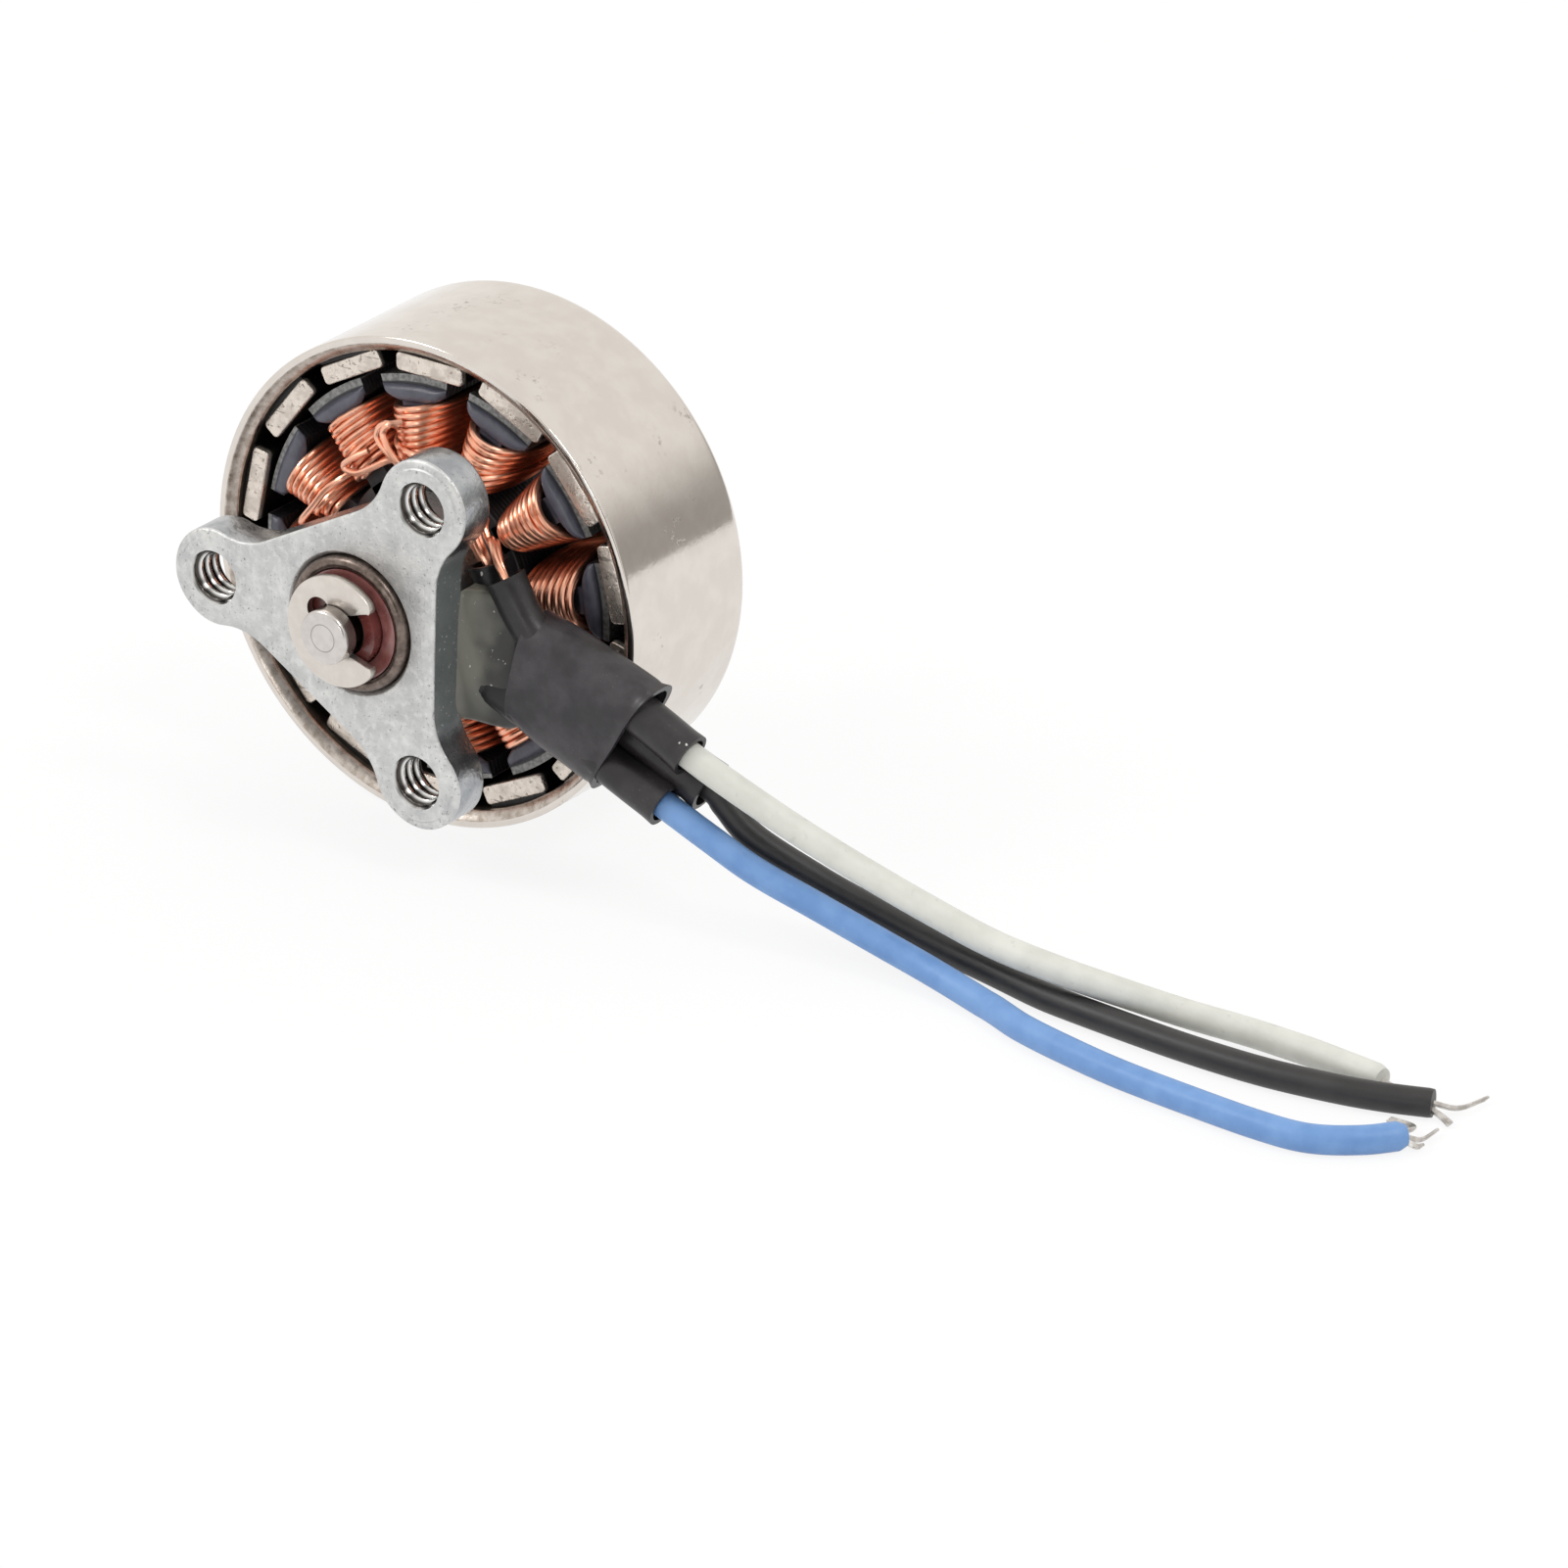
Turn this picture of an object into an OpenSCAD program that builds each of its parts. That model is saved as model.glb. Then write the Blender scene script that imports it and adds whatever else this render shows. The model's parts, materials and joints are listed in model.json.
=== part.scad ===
/* [Mounting] */
// Diameter of the circle that the threaded lug holes lie on
mount_circle_d = 12; // [11.6:0.1:12.6]
// Wall diameter of each threaded lug hole, the tap drill of an M2 thread
tap_hole_d = 1.6; // [1.2:0.1:1.8]
// Angle of the first lug about the shaft, from +X towards +Z
lug_turn = 57.7; // [54:0.1:62]
// Radius of a lug's rounded end
lug_r = 1.7; // [1.5:0.05:1.8]
// Thickness of the three-lugged plate
plate_t = 1.6; // [1.2:0.1:1.8]
// Distance from the shaft axis to the straight edge between two lugs
web_edge = 3.65; // [3.5:0.05:3.8]
// Radius of the hollow curve from a straight edge into a lug
web_fillet_r = 2.5; // [1.5:0.1:3]

/* [Shaft] */
// Diameter of the shaft
shaft_d = 2; // [1.8:0.05:2.1]
// Length of shaft that stands out of the bell for the propeller
output_len = 7.5; // [5:0.5:12]
// Length of shaft that stands out of the mount face
tail_len = 1.52; // [1.4:0.02:2]
// Chamfer on both shaft ends
shaft_chamfer = 0.15; // [0.05:0.05:0.3]
// Width of the undercut between the hub and the propeller's seat
relief_w = 1.2; // [0.8:0.1:1.6]
// Depth of that undercut
relief_depth = 0.25; // [0.15:0.01:0.3]
// Diameter at the bottom of the clip groove
groove_d = 1.5; // [1.3:0.05:1.6]

/* [Retaining clip] */
// Outer diameter of the E shaped clip
clip_d = 4.1; // [3.6:0.1:4.3]
// Thickness of the clip
clip_t = 0.4; // [0.3:0.05:0.45]
// Width of the clip's mouth at its rim
clip_mouth_w = 2.5; // [2:0.1:2.8]
// Radius of the two relief notches beside the back tooth
clip_notch_r = 0.35; // [0.25:0.05:0.4]

/* [Bearings] */
// Outer diameter of both ball bearings
bearing_d = 5; // [4.9:0.05:5.1]
// Width of both ball bearings
bearing_w = 2.3; // [2:0.1:2.4]
// Diameter of one ball
ball_d = 0.8; // [0.7:0.05:0.85]
// Number of balls in each bearing
ball_count = 7; // [5:1:8]
// How far the rear bearing stands proud of the mount face
bearing_proud = 0.18; // [0:0.02:0.3]
// Wall of the bearing tube round the bearings
tube_wall = 0.6; // [0.5:0.05:0.7]

/* [Bell] */
// Outer diameter of the bell
bell_d = 18.2; // [18:0.1:19]
// Wall thickness of the bell's skirt
bell_wall = 0.6; // [0.5:0.05:0.7]
// Height of the bell from rim to closed end
bell_h = 6.7; // [6.5:0.1:7.5]
// Distance from the mount face to the bell's rim
rim_gap = 4.22; // [4.1:0.02:4.4]
// Thickness of the bell's closed end
bell_end_t = 0.6; // [0.5:0.05:0.8]
// Number of round vents through the closed end
vent_count = 6; // [3:1:8]
// Diameter of one vent
vent_d = 2.4; // [1.5:0.1:2.8]
// Diameter of the hub bush inside the bell
hub_d = 6.2; // [5.4:0.1:6.4]
// Diameter of the hub's neck through the closed end
hub_neck_d = 3.8; // [3.2:0.1:4]
// Thickness of the hub's flange inside the bell
hub_flange_t = 0.6; // [0.5:0.05:0.7]
// Height of the hub's neck above the closed end
hub_boss_h = 0.4; // [0.2:0.05:0.8]
// Thickness of the shim between the hub and the front bearing
shim_t = 0.2; // [0.15:0.05:0.3]

/* [Magnets] */
// Number of magnets round the bell
magnet_count = 14; // [14:1:14]
// Width of one magnet along the rim
magnet_w = 2.85; // [2.5:0.05:3]
// Thickness of one magnet
magnet_t = 0.6; // [0.5:0.05:0.65]
// Length of one magnet along the shaft
magnet_len = 5; // [4.5:0.1:5.3]
// How far the magnets sit behind the bell's rim
magnet_recess = 0.48; // [0.3:0.02:0.6]
// Angle of the first magnet about the shaft
magnet_turn = 89.9; // [77:0.1:103]

/* [Stator] */
// Diameter of the lamination stack
stator_d = 15; // [14.8:0.1:15.1]
// Length of the lamination stack
stack_len = 3.6; // [3:0.1:3.8]
// Distance from the mount face to the stack
stack_gap = 5; // [4.9:0.05:5.2]
// Number of teeth, each with its own coil
tooth_count = 12; // [12:1:12]
// Angle of the first tooth about the shaft
tooth_turn = 6.8; // [-8:0.1:22]
// Width of one tooth
tooth_w = 1; // [0.8:0.05:1.1]
// Angle that one tooth tip covers
tip_angle = 22.4; // [20:0.2:25]
// Thickness of a tooth tip at its middle
tip_t = 0.9; // [0.75:0.05:1]
// Thickness of the yoke ring round the bearing tube
yoke_t = 0.8; // [0.6:0.05:0.9]
// Thickness of the blue-grey coating on each end of the stack
coat_t = 0.15; // [0.1:0.01:0.2]
// Width of bare lamination left round the coating's outer edge
coat_inset = 0.25; // [0.15:0.05:0.35]

/* [Coils] */
// Turns drawn on each coil
turns = 3; // [2:1:3]
// Diameter of a drawn turn
turn_d = 0.24; // [0.2:0.01:0.24]
// Height of the coil above the coated stack
crown_h = 0.85; // [0.75:0.05:0.9]
// Half angle that a coil fills about the shaft
coil_half_angle = 13.3; // [12:0.1:13.8]

/* [Leads] */
// Diameter of each insulated lead
lead_d = 1; // [0.8:0.05:1.05]
// Wall of the small sleeve over each joint
sleeve_wall = 0.2; // [0.1:0.01:0.22]
// Wall of the flat sleeve round all three leads
wrap_wall = 0.2; // [0.15:0.01:0.22]
// Length of the flat sleeve
wrap_len = 4.4; // [3.6:0.1:4.6]
// Diameter of a bare copper phase tail
tail_d = 0.5; // [0.3:0.05:0.6]
// Diameter of one loose tinned strand
strand_d = 0.16; // [0.1:0.01:0.2]

/* [Hidden] */
COIL_NAMES = [for (i = [1:tooth_count]) str("coil_", i)];
MAGNET_NAMES = [for (i = [1:magnet_count]) str("magnet_", i)];

$fn = 96;
fit = 0.01;              // clearance of parts that are pressed or glued together
run = 0.05;              // clearance of parts that turn past each other
over = 0.5;              // overrun of a cut past the face it opens
lug_count = 3;
lug_step = 360 / lug_count;
magnet_step = 360 / magnet_count;
tooth_step = 360 / tooth_count;

// Distances along the shaft from the mount face, towards the propeller
rear_face = -bearing_proud;
rear_floor = rear_face + bearing_w;
bell_end = rim_gap + bell_h;
bell_floor = bell_end - bell_end_t;
hub_face = bell_floor - hub_flange_t;
front_face = hub_face - shim_t;
front_floor = front_face - bearing_w;
stack_start = stack_gap;
stack_end = stack_gap + stack_len;
stack_mid = stack_gap + stack_len / 2;
magnet_start = rim_gap + magnet_recess;
clip_back_gap = 0.29;    // shim between the clip and the rear bearing
clip_back = rear_face - clip_back_gap;
clip_front = clip_back - clip_t;

// Radii about the shaft
shaft_r = shaft_d / 2;
bearing_r = bearing_d / 2;
tube_r = bearing_r + tube_wall;
seat_step = 0.2;         // how far the stack's seat stands out of the bearing tube
seat_r = tube_r + seat_step;
stator_r = stator_d / 2;
yoke_r = tube_r + fit + yoke_t;
bell_r = bell_d / 2;
skirt_r = bell_r - bell_wall;
mount_r = mount_circle_d / 2;
pitch_share = 0.5;       // where the balls run, between the bore and the outside
ball_r = ball_d / 2;
ball_pitch_r = shaft_r + (bearing_r - shaft_r) * pitch_share;
race_depth = 0.1;
inner_land_r = ball_pitch_r - ball_r + race_depth;
outer_land_r = ball_pitch_r + ball_r - race_depth;
ball_play = 0.02;
seal_t = 0.15;
seal_inset = 0.03;       // how far a seal lies below the bearing's faces
cage_wall = 0.28;
cage_rim = 0.13;         // brass left beside a ball's pocket
cage_half_w = ball_r + cage_rim;
pocket_play = 0.04;
bearing_edge_r = 0.2;
pocket_flare = 0.17;     // chamfer round the mouth of the rear bearing's pocket
bell_edge_r = 0.35;
vent_circle_share = 0.57;
vent_circle_r = vent_circle_share * bell_r;
hub_neck_r = hub_neck_d / 2;
hub_r = hub_d / 2;

// One shaft-wise frame for the turned parts: its Z runs back towards the mount side
module on_shaft() { rotate([90, 0, 0]) children(); }
module barrel(r, from, to) { translate([0, 0, -to]) cylinder(r = r, h = to - from); }
module turned(profile) { rotate_extrude() polygon([for (p = profile) [p[0], -p[1]]]); }
module tube(r_out, r_in, from, to) {
    turned([[r_in, from], [r_out, from], [r_out, to], [r_in, to]]);
}
function polar(r, a) = [r * cos(a), r * sin(a)];
function unit(v) = v / norm(v);

// Mount base: a three-lugged plate with the bearing tube behind it
lug_spread = mount_r * sin(lug_step / 2);      // along an edge, from its middle to a lug
lug_depth = mount_r * cos(lug_step / 2);       // across an edge, from the axis to a lug
fillet_across = web_edge + web_fillet_r;
fillet_along = lug_spread
    - sqrt(pow(lug_r + web_fillet_r, 2) - pow(fillet_across - lug_depth, 2));
fillet_end = acos((fillet_across - lug_depth) / (lug_r + web_fillet_r));
fillet_steps = 8;
lug_steps = 16;
function arc(c, r, a, b, steps, first) = [for (i = [first:steps])
    let (turn = a + (b - a) * i / steps) c + r * [cos(turn), sin(turn)]];
// Half of one edge's outline, from the edge's middle round to the end of a lug
half_edge = concat(
    arc([fillet_across, fillet_along], web_fillet_r, 180, 180 - fillet_end, fillet_steps, 0),
    arc([lug_depth, lug_spread], lug_r, -fillet_end, lug_step / 2, lug_steps, 1));
function flipped(points) = [for (i = [len(points) - 1:-1:0]) [points[i][0], -points[i][1]]];
function turned_by(p, a) = [p[0] * cos(a) - p[1] * sin(a), p[0] * sin(a) + p[1] * cos(a)];
edge_outline = concat(flipped(half_edge), half_edge);
plate_outline = [for (k = [0:lug_count - 1], i = [1:len(edge_outline) - 1])
    turned_by(edge_outline[i], lug_turn + (k + 1 / 2) * lug_step)];

module web_prism(points, from, to) {
    translate([0, 0, -to]) linear_extrude(to - from) polygon(points);
}

module mount_base() {
    color([0.72, 0.74, 0.75]) on_shaft() difference() {
        union() {
            web_prism(plate_outline, 0, plate_t);
            barrel(seat_r, 0, stack_start - coat_t);
            barrel(tube_r, 0, front_face);
        }
        for (k = [0:lug_count - 1])
            rotate(lug_turn + k * lug_step) translate([mount_r, 0, 0])
                barrel(tap_hole_d / 2, -over, plate_t + over);
        barrel(bearing_r + fit, -over, rear_floor);
        turned([[0, -pocket_flare], [bearing_r + 2 * pocket_flare, -pocket_flare],
                [bearing_r, pocket_flare], [0, pocket_flare]]);
        barrel(outer_land_r, -over, front_face + over);
        barrel(bearing_r + fit, front_floor, front_face + over);
    }
}

// Ball bearings, each described from its own rear face
module race_cut(mid) {
    translate([0, 0, -mid]) rotate_extrude() translate([ball_pitch_r, 0]) circle(ball_r + ball_play);
}

module outer_ring(from) {
    to = from + bearing_w;
    e = bearing_edge_r;
    difference() {
        turned([[outer_land_r, from], [bearing_r - e, from], [bearing_r, from + e],
                [bearing_r, to - e], [bearing_r - e, to], [outer_land_r, to]]);
        race_cut(from + bearing_w / 2);
    }
}

module inner_ring(from) {
    difference() {
        tube(inner_land_r, shaft_r + fit, from, from + bearing_w);
        race_cut(from + bearing_w / 2);
    }
}

module seal_pair(from) {
    to = from + bearing_w;
    tube(outer_land_r - fit, inner_land_r + run, from + seal_inset, from + seal_inset + seal_t);
    tube(outer_land_r - fit, inner_land_r + run, to - seal_inset - seal_t, to - seal_inset);
}

module balls(from) {
    for (i = [0:ball_count - 1])
        rotate(i * 360 / ball_count)
            translate([ball_pitch_r, 0, -from - bearing_w / 2]) sphere(ball_r);
}

module cage(from) {
    mid = from + bearing_w / 2;
    difference() {
        tube(ball_pitch_r + cage_wall / 2, ball_pitch_r - cage_wall / 2,
             mid - cage_half_w, mid + cage_half_w);
        for (i = [0:ball_count - 1])
            rotate(i * 360 / ball_count) translate([ball_pitch_r, 0, -mid]) rotate([0, 90, 0])
                cylinder(r = ball_r + pocket_play, h = ball_r, center = true);
    }
}

module rear_bearing_outer_ring() { color([0.33, 0.28, 0.24]) on_shaft() outer_ring(rear_face); }
module front_bearing_outer_ring() { color([0.62, 0.6, 0.58]) on_shaft() outer_ring(front_floor); }
module rear_bearing_inner_ring() { color([0.6, 0.58, 0.56]) on_shaft() inner_ring(rear_face); }
module front_bearing_inner_ring() { color([0.6, 0.58, 0.56]) on_shaft() inner_ring(front_floor); }
module rear_bearing_seals() { color([0.42, 0.08, 0.07]) on_shaft() seal_pair(rear_face); }
module front_bearing_seals() { color([0.42, 0.08, 0.07]) on_shaft() seal_pair(front_floor); }
module rear_bearing_balls() { color([0.8, 0.8, 0.82]) on_shaft() balls(rear_face); }
module front_bearing_balls() { color([0.8, 0.8, 0.82]) on_shaft() balls(front_floor); }
module rear_bearing_cage() { color([0.7, 0.62, 0.4]) on_shaft() cage(rear_face); }
module front_bearing_cage() { color([0.7, 0.62, 0.4]) on_shaft() cage(front_floor); }

// Stator: laminations with twelve teeth, and the coating on both ends
tip_in_share = 0.333;    // how much thinner a tip is at its ends than at its middle
tip_half = tip_angle / 2;
tip_end_t = tip_t * (1 - tip_in_share);
tip_shoulder_share = 0.5;

module tooth_prism(from, to) {
    reach = stator_r - tip_t / 2;
    translate([0, 0, -to]) linear_extrude(to - from) polygon([
        [tube_r + yoke_t / 2, -tooth_w / 2], [reach, -tooth_w / 2],
        [reach, tooth_w / 2], [tube_r + yoke_t / 2, tooth_w / 2]]);
}

module tip_prism(from, to) {
    far = stator_r + over;
    side = polar(stator_r - tip_end_t, tip_half);
    out = polar(far, tip_half);
    waist = [stator_r - tip_t, side[1] * tip_shoulder_share];
    translate([0, 0, -to]) linear_extrude(to - from) polygon([
        [out[0], -out[1]], out, side, waist, [waist[0], -waist[1]], [side[0], -side[1]]]);
}

module stator_plan(r_out, from, to) {
    tube(yoke_r, tube_r + fit, from, to);
    for (i = [0:tooth_count - 1]) rotate(tooth_turn + i * tooth_step) {
        tooth_prism(from, to);
        intersection() {
            tip_prism(from, to);
            barrel(r_out, from, to);
        }
    }
}

module stator_core() {
    color([0.35, 0.35, 0.36]) on_shaft() stator_plan(stator_r, stack_start, stack_end);
}
module rear_insulation() {
    color([0.29, 0.31, 0.38]) on_shaft()
        stator_plan(stator_r - coat_inset, stack_start - coat_t, stack_start);
}
module front_insulation() {
    color([0.29, 0.31, 0.38]) on_shaft()
        stator_plan(stator_r - coat_inset, stack_end, stack_end + coat_t);
}

// Swept tubes: rings of points joined by triangles
function ring(c, u, v, r, n) = [for (k = [0:n - 1]) c + r * (cos(360 * k / n) * u + sin(360 * k / n) * v)];
function ring_faces(rings, n) = concat(
    side_faces(rings, n, 0, true),
    [for (k = [1:n - 2]) [0, k, k + 1]],
    [for (k = [1:n - 2]) let (z = (rings - 1) * n) [z, z + k + 1, z + k]]);

function heading(route, i) = unit(route[min(i + 1, len(route) - 1)] - route[max(i - 1, 0)]);
function route_rings(route, a, b, r, n) = [for (i = [a:b])
    let (t = heading(route, i), side = unit(cross(t, [0, 1, 0])), v = cross(side, t))
        each ring(route[i], side, v, r, n)];
module swept(route, a, b, r, n) {
    polyhedron(route_rings(route, a, b, r, n), ring_faces(b - a + 1, n), convexity = 8);
}
function side_faces(rings, n, first, out) = [for (i = [0:rings - 2], k = [0:n - 1])
    let (a = first + i * n + k, b = first + i * n + (k + 1) % n)
        each (out ? [[a, a + n, b + n], [a, b + n, b]] : [[a, b + n, a + n], [a, b, b + n]])];
function rim_faces(outer, inner, n) = [for (k = [0:n - 1]) let (m = (k + 1) % n)
    each [[outer + k, outer + m, inner + m], [outer + k, inner + m, inner + k]]];
module swept_pipe(route, a, b, r_out, r_in, n) {
    rings = b - a + 1;
    bore = rings * n;
    far = (rings - 1) * n;
    polyhedron(
        concat(route_rings(route, a, b, r_out, n), route_rings(route, a, b, r_in, n)),
        concat(side_faces(rings, n, 0, true), side_faces(rings, n, bore, false),
               rim_faces(0, bore, n), rim_faces(bore + far, far, n)),
        convexity = 8);
}

// Coils: a rounded core round each tooth with one unbroken tube wound over it
loop_rings = 16;
tube_sides = 6;
core_gap = 0.02;
corner_share = 0.55;     // exponent of the rounded outline of a turn
yoke_margin = 0.3;
tip_margin = 0.1;
coil_in = yoke_r + yoke_margin;
coil_out = stator_r - tip_t - tip_margin;
coil_half_len = stack_len / 2 + coat_t + crown_h;
lining = coat_t;
first_turn = coil_in + turn_d / 2;
last_turn = coil_out - turn_d / 2;
turn_pitch = (last_turn - first_turn) / turns;

function half_width(reach) = reach * tan(coil_half_angle);
function bent(x) = sign(x) * pow(abs(x), corner_share);
function outline(a, inset, reach) = [
    (half_width(reach) - inset) * bent(cos(a)),
    (coil_half_len - inset) * bent(sin(a))];
function turn_point(i) = let (a = 360 * i / loop_rings,
                              reach = first_turn + turn_pitch * i / loop_rings,
                              p = outline(a, turn_d / 2, reach)) [reach, p[0], p[1]];
turn_steps = turns * loop_rings;
wound = [for (i = [0:turn_steps]) turn_point(i)];
wire_in = wound[0] - turn_d * unit(wound[1] - wound[0]);
wire_out = wound[turn_steps] + turn_d * unit(wound[turn_steps] - wound[turn_steps - 1]);
wire = concat([wire_in], wound, [wire_out]);
function wire_rings() = [for (i = [0:len(wire) - 1])
    let (t = heading(wire, i), side = unit(cross(t, [1, 0, 0])), v = cross(side, t))
        each ring(wire[i], side, v, turn_d / 2, tube_sides)];
turn_gap = min([for (i = [0:turn_steps], j = [0:turn_steps])
    if (j - i > loop_rings / 2) norm(wound[i] - wound[j])]) - turn_d;
echo(least_gap_between_turns = turn_gap);

core_inset = turn_d + core_gap;
function core_ring(reach) = [for (k = [0:loop_rings - 1])
    let (p = outline(-360 * k / loop_rings, core_inset, reach)) [reach, p[0], p[1]]];

module coil_core() {
    difference() {
        polyhedron(concat(core_ring(coil_in), core_ring(coil_out)), ring_faces(2, loop_rings));
        translate([coil_in - over, -tooth_w / 2 - lining, -stack_len / 2 - coat_t - fit])
            cube([coil_out - coil_in + 2 * over, tooth_w + 2 * lining, stack_len + 2 * (coat_t + fit)]);
    }
}

module coil(i) {
    color([0.78, 0.43, 0.27]) on_shaft() rotate(tooth_turn + (i - 1) * tooth_step)
        translate([0, 0, -stack_mid]) {
            coil_core();
            polyhedron(wire_rings(), ring_faces(len(wire), tube_sides), convexity = 8);
        }
}

// Lead routes, from the coil end through both sleeves to the cut end
WHITE = [[3.5, 3.7, 2.7], [4, 3.1, 3], [4.6, 2.5, 2.7], [5.05, 2.3, 2.2], [5.55, 2.3, 1.35],
    [6.35, 2.3, 0.35], [7.4, 2.3, -0.15], [8.6, 2.3, -0.6], [10.7, 2.3, -1.4], [12.9, 2.3, -2.45],
    [14.6, 2.4, -3.2], [17.1, 2.9, -4.45], [19.5, 3.5, -5.6], [21.9, 3.9, -6.5],
    [24.3, 4.1, -7.15], [26.9, 4.2, -7.45], [29.3, 4.7, -7.85], [31.4, 5.3, -8.25],
    [33.4, 5.7, -8.45], [35.2, 5.9, -8.6], [37.4, 5.7, -8.6], [39, 5.5, -8.6]];
BLACK = [[2.5, 3.7, 3.6], [2.9, 3.3, 3.3], [3.3, 3.1, 2.8], [3.75, 3, 2.2], [4.1, 3, 1.2],
    [4.6, 2.95, 0.15], [5.4, 2.95, -0.75], [6.6, 2.95, -1.25], [8.2, 2.95, -1.8], [10.1, 3.15, -2.55],
    [13, 3.35, -4], [13.6, 3.4, -4.55], [14.7, 3.5, -5.5], [16.9, 4.2, -6.75],
    [19, 4.6, -7.55], [21.5, 4.7, -8.15], [24.1, 4.6, -8.5], [26.5, 4.2, -8.6],
    [29.5, 3.9, -8.6], [32.4, 3.7, -8.6], [35.3, 3.7, -8.6], [37.8, 4, -8.6],
    [39.6, 4.4, -8.6], [41.3, 5, -8.6]];
BLUE = [[4.05, 3.7, -1.75], [4, 3.1, -1.85], [4.1, 2.55, -1.95], [4.4, 2.35, -2],
    [5.2, 2.3, -2.25], [6.2, 2.25, -2.55], [7.3, 2.25, -2.9], [9.3, 2.2, -3.5],
    [11.9, 2.2, -4.55], [13.8, 2.3, -5.4], [15.5, 2.5, -6.2], [17.8, 2.9, -7.05],
    [20.1, 3.1, -7.75], [22.4, 3.1, -8.3], [24.9, 2.6, -8.6], [27, 1.8, -8.6],
    [29.2, 1.25, -8.6], [31.6, 0.8, -8.6], [34.5, 0.5, -8.6], [37.4, 0.3, -8.6],
    [39.3, 0.45, -8.6], [40.8, 1.35, -8.6], [41.8, 2.5, -8.6]];
// Where along each route the sleeve starts, the joint lies and the sleeve ends
WHITE_STOPS = [3, 6, 7, 9];
BLACK_STOPS = [3, 7, 8, 10];
BLUE_STOPS = [3, 5, 6, 8];
// Loose strands at the cut ends
WHITE_STRANDS = [[[39, 5.5, -8.6], [39.8, 5.5, -8.8], [40.5, 5.7, -8.95]]];
BLACK_STRANDS = [[[41.3, 5.1, -8.6], [41.9, 5.6, -8.8], [42.2, 6.9, -8.95]],
    [[41.3, 4.9, -8.7], [41.8, 4.8, -8.9], [42.2, 4.6, -8.95]]];
BLUE_STRANDS = [[[41.8, 2.5, -8.6], [42.1, 2.9, -8.85], [42.1, 3.9, -8.95]],
    [[41.9, 2.4, -8.7], [42.15, 2.5, -8.9], [42.3, 2.7, -8.95]],
    [[41.7, 2.5, -8.5], [41.7, 3.1, -8.65], [41.2, 3.6, -8.85], [40.4, 3.7, -8.95]]];

lead_r = lead_d / 2;
sleeve_r = lead_r + sleeve_wall;
lead_sides = 8;

module lead(route, stops) { swept(route, stops[2], len(route) - 1, lead_r, lead_sides); }
module joint_sleeve(route, stops) {
    swept_pipe(route, stops[0], stops[3], sleeve_r, lead_r, lead_sides);
}
module tail(route, stops) { swept(route, 0, stops[1], tail_d / 2, lead_sides); }
joint_share = 0.8;       // how much of the sleeve's bore a solder joint fills
module solder(route, stops) {
    a = route[stops[1]];
    b = route[stops[2]];
    swept([a + run * unit(b - a), b - run * unit(b - a)], 0, 1, lead_r * joint_share, lead_sides);
}

module phase_tails() {
    color([0.8, 0.45, 0.28]) {
        tail(WHITE, WHITE_STOPS);
        tail(BLACK, BLACK_STOPS);
        tail(BLUE, BLUE_STOPS);
    }
}
module solder_joints() {
    color([0.7, 0.7, 0.7]) {
        solder(WHITE, WHITE_STOPS);
        solder(BLACK, BLACK_STOPS);
        solder(BLUE, BLUE_STOPS);
    }
}
module lead_white() { color([0.92, 0.92, 0.88]) lead(WHITE, WHITE_STOPS); }
module lead_black() { color([0.16, 0.15, 0.15]) lead(BLACK, BLACK_STOPS); }
module lead_blue() { color([0.42, 0.58, 0.82]) lead(BLUE, BLUE_STOPS); }
module strands(list) { for (s = list) swept(s, 0, len(s) - 1, strand_d / 2, tube_sides); }
module strands_white() { color([0.75, 0.74, 0.72]) strands(WHITE_STRANDS); }
module strands_black() { color([0.75, 0.74, 0.72]) strands(BLACK_STRANDS); }
module strands_blue() { color([0.75, 0.74, 0.72]) strands(BLUE_STRANDS); }
module joint_sleeve_white() { color([0.17, 0.16, 0.16]) joint_sleeve(WHITE, WHITE_STOPS); }
module joint_sleeve_black() { color([0.17, 0.16, 0.16]) joint_sleeve(BLACK, BLACK_STOPS); }
module joint_sleeve_blue() { color([0.17, 0.16, 0.16]) joint_sleeve(BLUE, BLUE_STOPS); }

// Flat sleeve round the three small ones, and the adhesive that holds them to the base
wrap_top = WHITE[6];
wrap_low = BLUE[5];
wrap_rear = BLACK[6];
wrap_at = [(wrap_top[0] + wrap_low[0]) / 2, (wrap_rear[1] + wrap_low[1]) / 2,
           (wrap_top[2] + wrap_low[2]) / 2];
wrap_turn = 20;          // how far the sleeve dips below level
wrap_up = [sin(wrap_turn), 0, cos(wrap_turn)];
wrap_slack = 0.02;       // room over the round sleeves at each edge
wrap_half_h = (wrap_top - wrap_low) * wrap_up / 2 + sleeve_r + wrap_slack + wrap_wall;
wrap_half_t = (wrap_rear[1] - wrap_low[1]) / 2 + sleeve_r + wrap_wall;
wrap_back_share = 0.23;  // how much of the sleeve lies before that place
wrap_start = -wrap_back_share * wrap_len;
wrap_end = wrap_start + wrap_len;
wrap_end_grow = 0.1;     // how much taller the sleeve is at its far end
module wrap_shape(half_h, half_t, from, to) {
    hull() for (e = [[from, 0], [to, wrap_end_grow]], side = [-1, 1])
        translate([e[0], 0, side * (half_h + e[1] - half_t)])
            rotate([0, 90, 0]) cylinder(r = half_t, h = run, center = true, $fn = 24);
}
module wrap_sleeve() {
    color([0.19, 0.19, 0.19]) translate(wrap_at) rotate([0, wrap_turn, 0]) difference() {
        wrap_shape(wrap_half_h, wrap_half_t, wrap_start, wrap_end);
        wrap_shape(wrap_half_h - wrap_wall, wrap_half_t - wrap_wall,
                   wrap_start - over, wrap_end + over);
    }
}

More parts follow.
